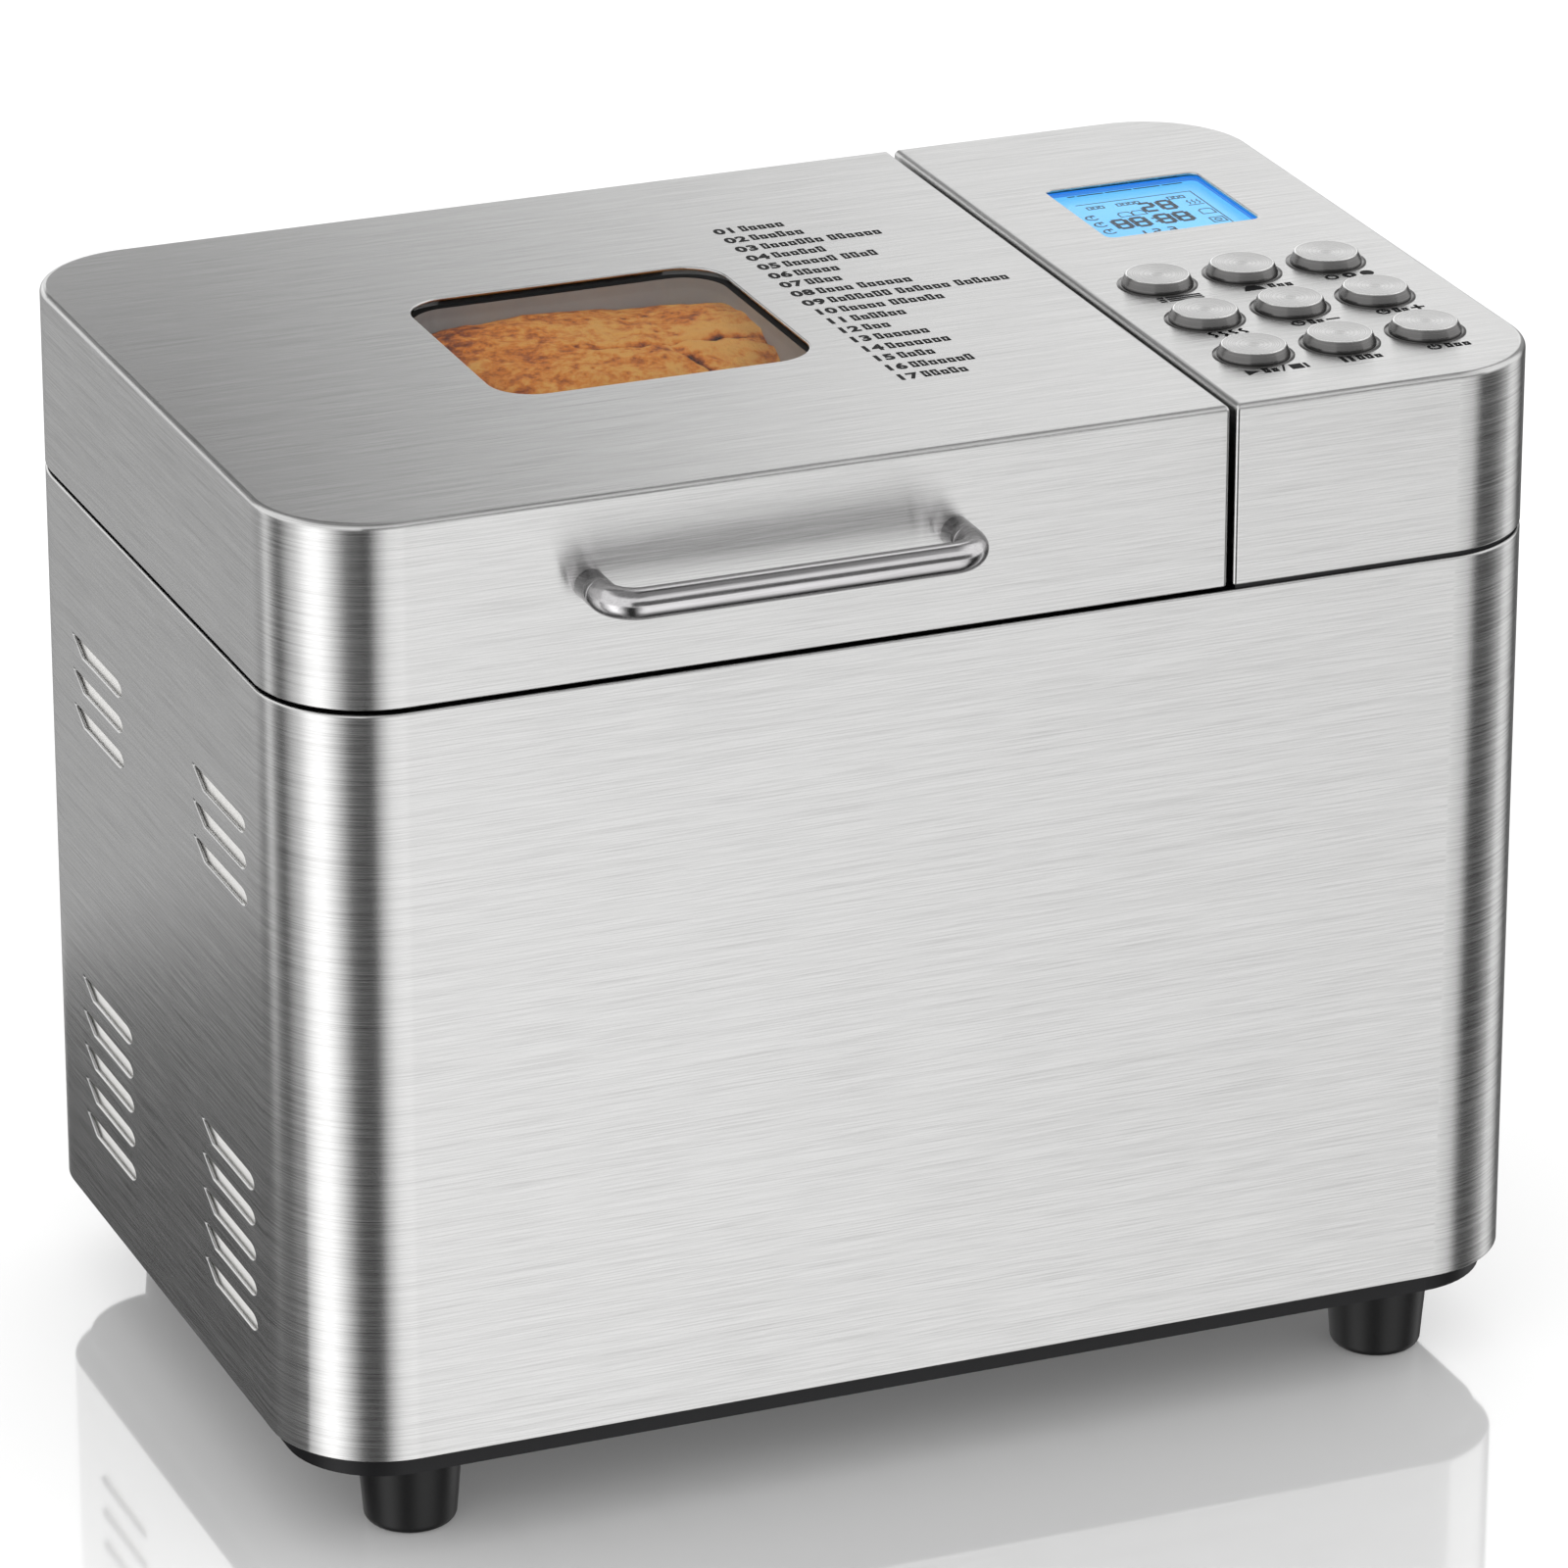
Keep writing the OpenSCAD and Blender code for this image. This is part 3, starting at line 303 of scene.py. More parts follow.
def material(name, metallic=0.0, **plain):
    """A material with its Principled shader; plain values are set on the shader's own sockets."""
    made = bpy.data.materials.new(name)
    made.use_nodes = True
    tree = made.node_tree
    shader = tree.nodes["Principled BSDF"]
    shader.inputs["Metallic"].default_value = metallic
    for label, value in plain.items():
        shader.inputs[label.replace("_", " ")].default_value = value
    return made, tree, shader


def shade_between(tree, shader, factor, dark, light):
    tree.links.new(blend(tree, factor, dark, light), shader.inputs["Base Color"])


def rough_between(tree, shader, factor, smooth, rough):
    tree.links.new(spread(tree, factor, 0.0, 1.0, smooth, rough), shader.inputs["Roughness"])


def bump(tree, shader, height, strength, distance):
    made = node(tree, "ShaderNodeBump", {"Height": height, "Strength": strength, "Distance": distance})
    tree.links.new(made.outputs[0], shader.inputs["Normal"])


def moulded(name, dark, light, smooth, rough, grain=2400.0, depth=0.00004, shine=0.5):
    """Injection-moulded plastic: a fine spark-eroded skin, and edges rubbed a little paler."""
    made, tree, shader = material(name, Specular_IOR_Level=shine)
    place = object_place(tree)
    skin = mottled(tree, place, grain, 3.0, 0.6)
    worn = use(tree, EDGE_WEAR, Place=place, Amount=0.25)
    marks = use(tree, HANDLING_MARKS, Place=place, Size=22.0, Cover=0.5)
    tone = arithmetic(tree, "MULTIPLY_ADD", skin, 0.5, worn["Wear"], clamp=True)
    shade_between(tree, shader, tone, dark, light)
    dulled = arithmetic(tree, "MULTIPLY_ADD", marks["Marks"], 0.5, arithmetic(tree, "MULTIPLY", skin, 0.5))
    rough_between(tree, shader, dulled, smooth, rough)
    bump(tree, shader, skin, 0.35, depth)
    return made


def drawn_metal(name, dark, light, smooth, rough, along=30.0, across=1500.0, size=18.0, strength=0.2,
                depth=0.00004):
    """Rolled, drawn or machined metal with its lines along X, dulled in patches."""
    made, tree, shader = material(name, 1.0)
    place = object_place(tree)
    lines = use(tree, BRUSHED_LINES, Place=place, Along=along, Across=across)
    marks = use(tree, HANDLING_MARKS, Place=place, Size=size, Cover=0.5)
    shade_between(tree, shader, lines["Lines"], dark, light)
    dulled = arithmetic(tree, "MULTIPLY_ADD", marks["Marks"], 0.5, lines["Lines"])
    rough_between(tree, shader, dulled, smooth, rough)
    bump(tree, shader, lines["Height"], strength, depth)
    return made


def dress(finish, *names):
    """Gives one finish to pieces that keep the frame's own shapes."""
    for name in names:
        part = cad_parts[name]
        part.data.materials.clear()
        part.data.materials.append(finish)


black_moulding = moulded("black_moulding", (0.004, 0.004, 0.005), (0.015, 0.015, 0.016), 0.36, 0.52,
                         shine=0.25)
plated_screws = drawn_metal("plated_screws", (0.5, 0.5, 0.5), (0.66, 0.66, 0.65), 0.2, 0.36)
dress(black_moulding, "base_tray")
dress(plated_screws, "case_screws")


# ---- Feet ---------------------------------------------------------------------
# Four tapered feet of black rubber, each pressed over a boss under the tray and
# held by the screw up its middle.

foot_rubber = moulded("foot_rubber", (0.005, 0.005, 0.005), (0.017, 0.017, 0.018), 0.34, 0.5, grain=1800.0,
                      shine=0.3)
dress(foot_rubber, "feet")


# ---- Chassis plate ------------------------------------------------------------
# A folded plate of galvanised steel that closes the tray and carries the oven on
# its top and the drive below it.

def spangled_zinc(name, dark, light):
    """Galvanised sheet: flat crystals, each its own grey."""
    made, tree, shader = material(name, 1.0)
    place = object_place(tree)
    crystals = node(tree, "ShaderNodeTexVoronoi", {"Vector": place, "Scale": 330.0})
    tone = node(tree, "ShaderNodeSeparateColor", {"Color": crystals.outputs["Color"]}).outputs[0]
    shade_between(tree, shader, tone, dark, light)
    rough_between(tree, shader, tone, 0.32, 0.5)
    bump(tree, shader, crystals.outputs["Distance"], 0.15, 0.00005)
    return made


galvanised = spangled_zinc("galvanised_sheet", (0.47, 0.48, 0.49), (0.56, 0.57, 0.58))
dress(galvanised, "chassis_plate")


# ---- Motor and belt drive -----------------------------------------------------
# An induction motor at the right turns a small pulley; a rubber belt takes that to
# the large one, whose steel shaft runs up through bronze bearings to the coupling.

def speckled_coat(name, dark, fleck, smooth, rough, size=900.0):
    """Sprayed coating with pale flecks under a satin skin."""
    made, tree, shader = material(name, 0.0, Coat_Weight=0.2, Coat_Roughness=0.35)
    place = object_place(tree)
    cells = node(tree, "ShaderNodeTexVoronoi", {"Vector": place, "Scale": size})
    skin = mottled(tree, place, 500.0, 3.0)
    shade_between(tree, shader, spread(tree, cells.outputs["Distance"], 0.22, 0.12), dark, fleck)
    rough_between(tree, shader, skin, smooth, rough)
    bump(tree, shader, skin, 0.3, 0.00005)
    return made


cast_alloy = speckled_coat("cast_alloy", (0.42, 0.42, 0.42), (0.56, 0.56, 0.56), 0.4, 0.6, 420.0)
bronze = drawn_metal("sintered_bronze", (0.45, 0.31, 0.14), (0.62, 0.46, 0.24), 0.4, 0.55)
pale_moulding = moulded("pale_moulding", (0.8, 0.79, 0.77), (0.92, 0.915, 0.9), 0.42, 0.6)
dress(spangled_zinc("motor_zinc", (0.36, 0.37, 0.37), (0.5, 0.51, 0.52)), "motor_case", "motor_rotor")
dress(pale_moulding, "motor_capacitor")
dress(black_moulding, "motor_pulley", "drive_pulley")
dress(moulded("belt_rubber", (0.012, 0.012, 0.012), (0.035, 0.034, 0.034), 0.5, 0.7, grain=1400.0),
      "drive_belt")
dress(cast_alloy, "drive_housing", "drive_coupling")
dress(bronze, "drive_bearings")
dress(plated_screws, "drive_shaft")


# ---- Power board --------------------------------------------------------------
# A green circuit board with its transformer, standing behind the motor. A flat
# ribbon cable climbs from it to the control board.

def solder_mask(name):
    """Circuit board: green mask over copper runs, which show as slightly paler bands."""
    made, tree, shader = material(name, 0.0, Coat_Weight=0.4, Coat_Roughness=0.15)
    place = object_place(tree)
    runs = node(tree, "ShaderNodeTexBrick", {
        "Vector": place, "Scale": 160.0, "Mortar Size": 0.06, "Color1": (0.015, 0.14, 0.06, 1),
        "Color2": (0.02, 0.17, 0.075, 1), "Mortar": (0.05, 0.25, 0.11, 1)})
    tree.links.new(runs.outputs["Color"], shader.inputs["Base Color"])
    rough_between(tree, shader, runs.outputs["Fac"], 0.35, 0.5)
    bump(tree, shader, runs.outputs["Fac"], 0.3, 0.00004)
    return made


green_board = solder_mask("solder_mask")
dress(green_board, "power_board")
dress(drawn_metal("taped_winding", (0.2, 0.1, 0.03), (0.42, 0.24, 0.09), 0.35, 0.5, 20.0, 900.0),
      "transformer")
dress(pale_moulding, "ribbon_cable")


# ---- Oven ---------------------------------------------------------------------
# A drawn box of aluminised steel open at the top. The element runs round it near
# the bottom, the cast socket for the pan stands on its floor, and the sensor and
# the thermal fuse are clipped to its walls.

def heat_stained(name):
    """The element's sheath: dark oxide with straw and blue where it runs hottest."""
    made, tree, shader = material(name, 0.7)
    place = object_place(tree)
    cloud = mottled(tree, place, 38.0, 4.0, distortion=0.6)
    tone = ramp(tree, cloud, [(0.3, (0.035, 0.033, 0.034)), (0.5, (0.09, 0.075, 0.06)),
                              (0.62, (0.07, 0.075, 0.1)), (0.75, (0.13, 0.12, 0.115))])
    tree.links.new(tone, shader.inputs["Base Color"])
    rough_between(tree, shader, cloud, 0.35, 0.65)
    bump(tree, shader, mottled(tree, place, 700.0), 0.3, 0.00006)
    return made


aluminised = drawn_metal("aluminised_sheet", (0.48, 0.48, 0.47), (0.64, 0.64, 0.63), 0.34, 0.5, 14.0, 500.0)
dress(aluminised, "oven_liner")
dress(heat_stained("element_sheath"), "heating_element")
dress(cast_alloy, "pan_socket")
dress(galvanised, "temperature_sensor")
dress(pale_moulding, "thermal_fuse")


# ---- Steel wrap ---------------------------------------------------------------
# The body's skin: one strip of 0.8 mm stainless sheet, brushed along its length,
# bent round four upright corners, with louvre slots pressed through both sides.

MM = 0.001
SHEET = 0.8 * MM
CORNER = 29.5 * MM
SLOT_LONG, SLOT_HIGH, SLOT_SLANT, SLOT_PITCH = 40 * MM, 4.4 * MM, 7.5 * MM, 9.75 * MM
SLOT_ROUND = 4.2 * MM           # how far the rounding of the front end runs back
SLOT_COLUMNS = (-71.2 * MM, 26 * MM)
SLOT_GROUPS = ((41 * MM, 3), (137.8 * MM, 5))


def rounded(x0, x1, y0, y1, radii, steps=(20, 20, 20, 20)):
    """A rectangle with rounded corners, front right first and on round to the front left."""
    corners = [(x1, y0, -1, 1, -90), (x1, y1, -1, -1, 0), (x0, y1, 1, -1, 90), (x0, y0, 1, 1, 180)]
    points = []
    for (x, y, inward_x, inward_y, start), r, count in zip(corners, radii, steps):
        r = max(r, 0.02 * MM)
        for i in range(count + 1):
            a = math.radians(start + 90 * i / count)
            points.append((x + inward_x * r + r * math.cos(a), y + inward_y * r + r * math.sin(a)))
    return points


def level_ring(low, high, inset, z, radii, steps):
    """A level line round a box, drawn in from the box's sides by inset."""
    line = rounded(low.x + inset, high.x - inset, low.y + inset, high.y - inset,
                   [r - inset for r in radii], steps)
    return [(x, y, z) for x, y in line]


def lengths_round(points):
    """Running length at each point of a closed line, and once more at its end."""
    runs = [0.0]
    for i, p in enumerate(points):
        runs.append(runs[-1] + (Vector(points[(i + 1) % len(points)]) - Vector(p)).length)
    return runs


def set_uv(face, layer, places):
    for corner, place in zip(face.loops, places):
        corner[layer].uv = place


def loft(bm, rings, layer, start=0.0, skip=(), flip=False, runs=None):
    """Walls between rings of equal count. U runs along the ring and V from ring to ring."""
    rows = [[p if isinstance(p, bmesh.types.BMVert) else bm.verts.new(p) for p in ring] for ring in rings]
    runs = runs or lengths_round([v.co for v in rows[0]])
    v_here = start
    for k, (a, b) in enumerate(zip(rows, rows[1:])):
        step = sum((p.co - q.co).length for p, q in zip(a, b)) / len(a)
        for i in range(len(a)):
            if (k, i) in skip:
                continue
            j = (i + 1) % len(a)
            u, u_next, v_next = runs[i], runs[i + 1], v_here - step
            places = [(u, v_next), (u_next, v_next), (u_next, v_here), (u, v_here)]
            corners = [b[i], b[j], a[j], a[i]]
            if flip:
                corners, places = corners[::-1], places[::-1]
            set_uv(bm.faces.new(corners), layer, places)
        v_here = v_here - step
    return rows


def fill(bm, outlines, layer, place, normal):
    """A flat sheet between vertex loops: the first is its outline and the rest are holes."""
    edges = []
    for outline in outlines:
        for a, b in zip(outline, outline[1:] + outline[:1]):
            edges.append(bm.edges.get((a, b)) or bm.edges.new((a, b)))
    made = bmesh.ops.triangle_fill(bm, edges=edges, use_beauty=True, use_dissolve=False)
    for face in [g for g in made["geom"] if isinstance(g, bmesh.types.BMFace)]:
        face.normal_update()
        if face.normal.dot(normal) < 0:
            face.normal_flip()
        set_uv(face, layer, [place(corner.vert.co) for corner in face.loops])


def finished(bm, name, place=(0, 0, 0)):
    """Turns the build mesh into an object, smooth all over."""
    for face in bm.faces:
        face.smooth = True
    mesh = bpy.data.meshes.new(name)
    bm.to_mesh(mesh)
    bm.free()
    return new_object(name, mesh, place)


def even_shading(piece):
    piece.modifiers.new("even_shading", "WEIGHTED_NORMAL").weight = 50


def slot_line(front, middle, grow):
    """A louvre slot seen square on: rounded at the front end and slanted at the back."""
    half = SLOT_HIGH / 2 + grow
    points = []
    for i in range(11):
        a = math.radians(90 + 18 * i)
        points.append((front + SLOT_ROUND + (SLOT_ROUND + grow) * math.cos(a), middle + half * math.sin(a)))
    tips = [(front + SLOT_LONG - SLOT_SLANT + 0.3 * grow, -half), (front + SLOT_LONG + 2.4 * grow, half)]
    for (y, z), turns in zip(tips, ((-90, -31), (-31, 90))):
        r = 0.5 * MM
        centre = (y - r * 0.6, z + r) if z < 0 else (y - r * 1.9, z - r)
        for i in range(5):
            a = math.radians(turns[0] + (turns[1] - turns[0]) * i / 4)
            points.append((centre[0] + r * math.cos(a), middle + centre[1] + r * math.sin(a)))
    return points


def wrap_sheet():
    low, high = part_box("body_shell")
    rear_low, rear_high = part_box("rear_panel")
    lap = 9 * MM
    bm = bmesh.new()
    layer = bm.loops.layers.uv.new("brushing")

    def ring(inset, z):
        return level_ring(low, high, inset, z, (CORNER,) * 4, (24,) * 4)

    # The straight step that follows each corner's 24 short ones; these are filled round their holes
    flats = {24: "right", 49: "back", 74: "left"}
    runs = lengths_round(ring(0, 0))
    outer_top = [(inset * MM, high.z - down * MM)
                 for inset, down in ((0.65, 0.0), (0.35, 0.08), (0.1, 0.33), (0.0, 0.65))]
    outer_low = [(0.0, low.z + 0.4 * MM), (0.15 * MM, low.z + 0.13 * MM), (SHEET / 2, low.z)]
    inner_low = [(SHEET, low.z + 0.3 * MM)]
    inner_top = [(SHEET, high.z - 0.3 * MM)]
    line = outer_top + outer_low + inner_low + inner_top + outer_top[:1]
    rings = [[bm.verts.new(p) for p in ring(*level)] for level in line[:-1]]
    rings.append(rings[0])
    outer, inner = 3, 7         # the rings at the outer face's top and at the inner face's foot
    skip = {(band, i) for band in (outer, inner) for i in flats}
    loft(bm, rings, layer, start=high.z, skip=skip, runs=runs)

    def hole_rows(side, sheet_x, points_at):
        rows = []
        for grow, depth in ((0.45 * MM, 0), (0.12 * MM, 0.12 * MM), (0, 0.45 * MM), (0, SHEET)):
            x = sheet_x - side * depth
            rows.append([bm.verts.new((x, y, z)) for y, z in points_at(grow)])
        return rows

    for index, name in flats.items():
        a, b = rings[outer], rings[outer + 1]
        frame_loop = [a[index], a[index + 1], b[index + 1], b[index]]
        c, d = rings[inner + 1], rings[inner]
        inner_loop = [c[index], c[index + 1], d[index + 1], d[index]]
        start = a[index].co.copy()
        run = runs[index]
        holes = []
        if name == "back":
            x0, x1 = rear_low.x + lap, rear_high.x - lap
            z0, z1 = rear_low.z + lap, rear_high.z - lap
            opening = rounded(x0, x1, z0, z1, (3 * MM,) * 4, (5, 5, 5, 5))
            y = a[index].co.y
            rows = [[bm.verts.new((x, y - depth, z)) for x, z in opening] for depth in (0, SHEET)]
            loft(bm, rows, layer)
            holes.append(rows)
        else:
            side = 1 if name == "right" else -1
            for column in SLOT_COLUMNS:
                for drop, many in SLOT_GROUPS:
                    for i in range(many):
                        middle = high.z + 0.6 * MM - drop - i * SLOT_PITCH
                        rows = hole_rows(side, a[index].co.x,
                                         lambda grow: slot_line(body_mid_y + column, middle, grow))
                        loft(bm, rows, layer, flip=side > 0)
                        holes.append(rows)
        outward = Vector({"right": (1, 0, 0), "left": (-1, 0, 0), "back": (0, 1, 0)}[name])

        def place(co):
            return (run + (Vector((co.x, co.y, 0)) - Vector((start.x, start.y, 0))).length, co.z)

        fill(bm, [frame_loop] + [rows[0] for rows in holes], layer, place, outward)
        fill(bm, [inner_loop] + [rows[-1] for rows in holes], layer, place, -outward)
    bmesh.ops.recalc_face_normals(bm, faces=bm.faces)
    made = finished(bm, "steel_wrap")
    even_shading(made)
    return made


def brushed_sheet():
    made, tree, shader = material("brushed_stainless", 1.0, Anisotropic=0.95, Anisotropic_Rotation=0.25)
    uv = node(tree, "ShaderNodeUVMap", uv_map="brushing").outputs[0]
    lines = use(tree, BRUSHED_LINES, Place=uv, Along=36.0, Across=2500.0)
    marks = use(tree, HANDLING_MARKS, Place=object_place(tree), Size=9.0, Cover=0.45)
    shade_between(tree, shader, lines["Lines"], (0.5, 0.498, 0.494), (0.70, 0.699, 0.695))
    dulled = arithmetic(tree, "MULTIPLY_ADD", marks["Marks"], 0.35, lines["Lines"])
    rough_between(tree, shader, dulled, 0.21, 0.27)
    bump(tree, shader, lines["Height"], 0.2, 0.00002)
    tree.links.new(node(tree, "ShaderNodeTangent", direction_type="UV_MAP", uv_map="brushing").outputs[0],
                   shader.inputs["Tangent"])
    return made


steel = brushed_sheet()
wrap = wrap_sheet()
wrap.data.materials.append(steel)
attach(wrap, "root")
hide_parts("body_shell")


# ---- Rear panel, baffles and top deck ------------------------------------------
# What closes the skin: a galvanised service panel with the cord's rubber gland, pale
# baffles close behind the louvres, and a black deck round the mouth of the oven.

dress(galvanised, "rear_panel")
dress(pale_moulding, "vent_baffles")
dress(black_moulding, "top_deck", "cord_gland")


# ---- Bread pan ----------------------------------------------------------------
# A cast pan with a speckled non-stick coat, riveted to its cast foot. The paddle's
# shaft runs through a bronze bushing, and a bail of steel wire lifts it out.

nonstick = speckled_coat("nonstick_coat", (0.03, 0.03, 0.032), (0.16, 0.16, 0.165), 0.3, 0.45)
dress(nonstick, "bread_pan", "kneading_paddle")
dress(cast_alloy, "pan_foot", "pan_coupling")
dress(bronze, "pan_bushing")
dress(plated_screws, "paddle_shaft")
dress(drawn_metal("drawn_wire", (0.5, 0.5, 0.49), (0.66, 0.66, 0.65), 0.2, 0.34), "pan_handle")


# ---- Loaf ---------------------------------------------------------------------
# A baked loaf left in the pan, so that the window has something to show. It rose
# well over the rim, and its crust has split, blistered and browned unevenly, with
# painted shade in its cracks, pits and hollows.

def held(value, low=0.0, high=1.0):
    return max(low, min(high, value))


def loaf():
    pan_low, pan_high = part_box("bread_pan")
    rim = 5.2 * MM
    wide, deep = (pan_high.x - pan_low.x) / 2 - rim, (pan_high.y - pan_low.y) / 2 - rim
    centre = (pan_low + pan_high) / 2
    low, shoulder, crown, under_glass = pan_low.z + 2.5 * MM, pan_high.z + 2 * MM, 0.2718, 0.2732
    sides, around = 300, 130
    bm = bmesh.new()
    layer = bm.loops.layers.uv.new("brushing")

    def ring(share, rise):
        """One level: a rounded rectangle, shrunk towards the middle by share. Without a given
        height it follows the dome, which slopes more at the front, where the bail swings."""
        power = 2 / (2.2 + 2.6 * share)
        steep, gentle = math.sqrt(max(0.0, 1 - share ** 5.5)), max(0.0, 1 - share ** 2.1) ** 0.75
        points = []
        for i in range(sides):
            c, s = math.cos(math.tau * i / sides), math.sin(math.tau * i / sides)
            x = wide * share * math.copysign(abs(c) ** power, c)
            y = deep * share * math.copysign(abs(s) ** power, s)
            back = held((y / deep + 0.42) / 0.5)
            dome = gentle + (steep - gentle) * back * back * (3 - 2 * back)
            points.append(Vector((centre.x + x, centre.y + y,
                                  shoulder + (crown - shoulder) * dome if rise is None else rise)))
        return points

    shares = [math.sin(math.pi / 2 * k / around) for k in range(1, around + 1)]
    levels = [(share, None) for share in shares]
    sides_down = ((0.02, 1.0), (0.06, 0.999), (0.11, 0.998), (0.4, 0.992), (0.8, 0.985), (0.97, 0.97),
                  (1.0, 0.94))
    levels += [(inset, shoulder + (low - shoulder) * drop) for drop, inset in sides_down]
    rows = loft(bm, [ring(*level) for level in levels], layer)
    for row in (rows[0], rows[-1]):
        bm.faces.new(row)
    bmesh.ops.recalc_face_normals(bm, faces=bm.faces)
    bm.normal_update()
    crack_and_pit_shade = bm.verts.layers.float.new("crack_and_pit_shade")
    shifts = []
    for v in bm.verts:
        p = v.co / MM
        x, y = (v.co.x - centre.x) / MM, (v.co.y - centre.y) / MM
        top = held((v.co.z - shoulder + 0.012) / 0.03)
        lumps = noise.fractal(p * 0.028 + Vector((3.1, 0, 7)), 1.0, 2.0, 4) * 1.5
        knots = noise.fractal(p * 0.11, 0.9, 2.1, 4) * 0.6
        sag = 3.5 * max(0.0, (centre.x - v.co.x) / wide - 0.12) ** 1.3
        across = 6 * noise.noise(p * 0.045) + 2 * noise.noise(p * 0.16 + Vector((4, 4, 4)))
        split = y - 3 + 0.10 * x - across
        width = 1.6 + 1.6 * noise.noise(p * 0.09 + Vector((2, 7, 1))) ** 2
        branch = x - 17 - across * 0.8 + 0.35 * y
        tear = max(math.exp(-(split / width) ** 2) * held((x + 14) / 26),
                   math.exp(-(branch / 1.6) ** 2) * held((6 - split) / 14))
        pits = max(0.0, 0.17 - noise.voronoi(p * 0.15)[0][0]) * 7 * max(0.0, noise.noise(p * 0.02) + 0.3)
        # Painted shade: how much darker the crust is coloured in the cracks and pits
        v[crack_and_pit_shade] = min(1.0, tear + 0.7 * pits)
        shifts.append((lumps + knots - 2.4 * tear - pits - sag) * top * MM)
    for v, shift in zip(bm.verts, shifts):
        v.co += v.normal * shift
        v.co.z = min(v.co.z, under_glass)
    return finished(bm, "loaf")


def crust():
    made, tree, shader = material("baked_crust", 0.0, Specular_IOR_Level=0.06)
    place = object_place(tree)
    bake = mottled(tree, place, 24.0, 7.0, 0.66, 1.1)
    mottle = mottled(tree, place, 120.0, 4.0, 0.6, 0.8)
    fine = mottled(tree, place, 320.0, 5.0, 0.72)
    blister = node(tree, "ShaderNodeTexVoronoi", {"Vector": place, "Scale": 95.0}).outputs["Distance"]
    # Painted shade: the crust is coloured darker where the surface is hollow
    hollow = spread(tree, node(tree, "ShaderNodeNewGeometry").outputs["Pointiness"], 0.42, 0.52)
    spot = node(tree, "ShaderNodeSeparateXYZ", {"Vector": place}).outputs
    middle = (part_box("bread_pan")[0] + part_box("bread_pan")[1]) / 2
    # Painted shade in the cracks and pits, stored on the mesh
    crack_shade_mask = node(tree, "ShaderNodeAttribute", attribute_name="crack_and_pit_shade").outputs["Fac"]
    # Deeper towards the left and the back; over that the patches are summed, with painted shade in the
    # hollows and painted shade in the cracks and pits
    leftward = spread(tree, spot["X"], middle.x - 0.045, middle.x + 0.05, -0.82, -0.53)
    backward = spread(tree, spot["Y"], middle.y + 0.004, middle.y + 0.045, 0.0, -0.16)
    tone = arithmetic(tree, "ADD", leftward, backward)
    for source, amount in ((bake, 1.0), (mottle, 0.6), (hollow, 0.3), (fine, 1.05), (crack_shade_mask, -0.34)):
        tone = arithmetic(tree, "MULTIPLY_ADD", source, amount, tone)
    shade = ramp(tree, arithmetic(tree, "MULTIPLY", tone, 0.93), [
        (0.4, (0.04, 0.008, 0.002)), (0.54, (0.24, 0.043, 0.005)), (0.66, (0.6, 0.14, 0.014)),
        (0.77, (0.88, 0.27, 0.03)), (0.93, (0.98, 0.47, 0.11))])
    tree.links.new(shade, shader.inputs["Base Color"])
    rough_between(tree, shader, fine, 0.4, 0.7)
    relief = arithmetic(tree, "MULTIPLY_ADD", blister, 0.3, fine)
    bump(tree, shader, arithmetic(tree, "MULTIPLY_ADD", mottle, 0.8, relief), 1.0, 0.0012)
    return made


bread = loaf()
bread.data.materials.append(crust())
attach(bread, "pan")


# ---- Control panel ------------------------------------------------------------
# A cap pressed from the same brushed sheet, fixed over a black frame, with the
# display opening and nine button holes. The board under it carries the switches.

CAP_EDGE = 1.7 * MM             # radius of the pressed edge round the top
SEAM_CORNER = 1.2 * MM          # the two caps are nearly square where they face each other
LAP = 3 * MM                    # how far a pane runs on under the sheet round its opening
BUTTONS = ("menu", "weight", "color", "bake", "time_minus", "time_plus", "start", "pause", "power")
BUTTON_HOLE = 9.45 * MM


def cap(name, source, radii, steps, holes):
    """A shallow cap with a rounded top edge; each hole is a function of how far it is grown."""
    low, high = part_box(source)
    bm = bmesh.new()
    layer = bm.loops.layers.uv.new("brushing")
    edge = [(CAP_EDGE * (1 - math.sin(a)), high.z - CAP_EDGE * (1 - math.cos(a)))
            for a in (math.radians(15 * i) for i in range(7))]
    hem = [(inset, low.z + up * MM)
           for inset, up in ((0, 0.5), (0.15 * MM, 0.15), (0.45 * MM, 0), (SHEET, 0.2))]
    inside = [(SHEET + CAP_EDGE * (1 - math.sin(a)), high.z - SHEET - CAP_EDGE * (1 - math.cos(a)))
              for a in (math.pi / 2, math.pi / 4, 0)]
    levels = edge + hem + inside
    rings = [level_ring(low, high, inset, z, radii, steps) for inset, z in levels]
    rows = loft(bm, rings, layer, start=high.z)
    top, under = [], []
    for outline in holes:
        lips = [(0.35 * MM, 0), (0.1 * MM, 0.1 * MM), (0, 0.35 * MM), (0, SHEET)]
        lip_rings = [[(x, y, high.z - down) for x, y in outline(grow)] for grow, down in lips]
        lip_rows = loft(bm, lip_rings, layer, flip=True)
        top.append(lip_rows[0])
        under.append(lip_rows[-1])

    def place(co):
        return (co.x, co.y)

    fill(bm, [rows[0]] + top, layer, place, Vector((0, 0, 1)))
    fill(bm, [rows[-1]] + under, layer, place, Vector((0, 0, -1)))
    bmesh.ops.recalc_face_normals(bm, faces=bm.faces)
    made = finished(bm, name)
    even_shading(made)
    return made


def rounded_hole(centre_x, centre_y, width, deep, r):
    def outline(grow):
        half_x, half_y = width / 2 + grow, deep / 2 + grow
        return rounded(centre_x - half_x, centre_x + half_x, centre_y - half_y, centre_y + half_y,
                       (r + grow,) * 4, (10,) * 4)
    return outline


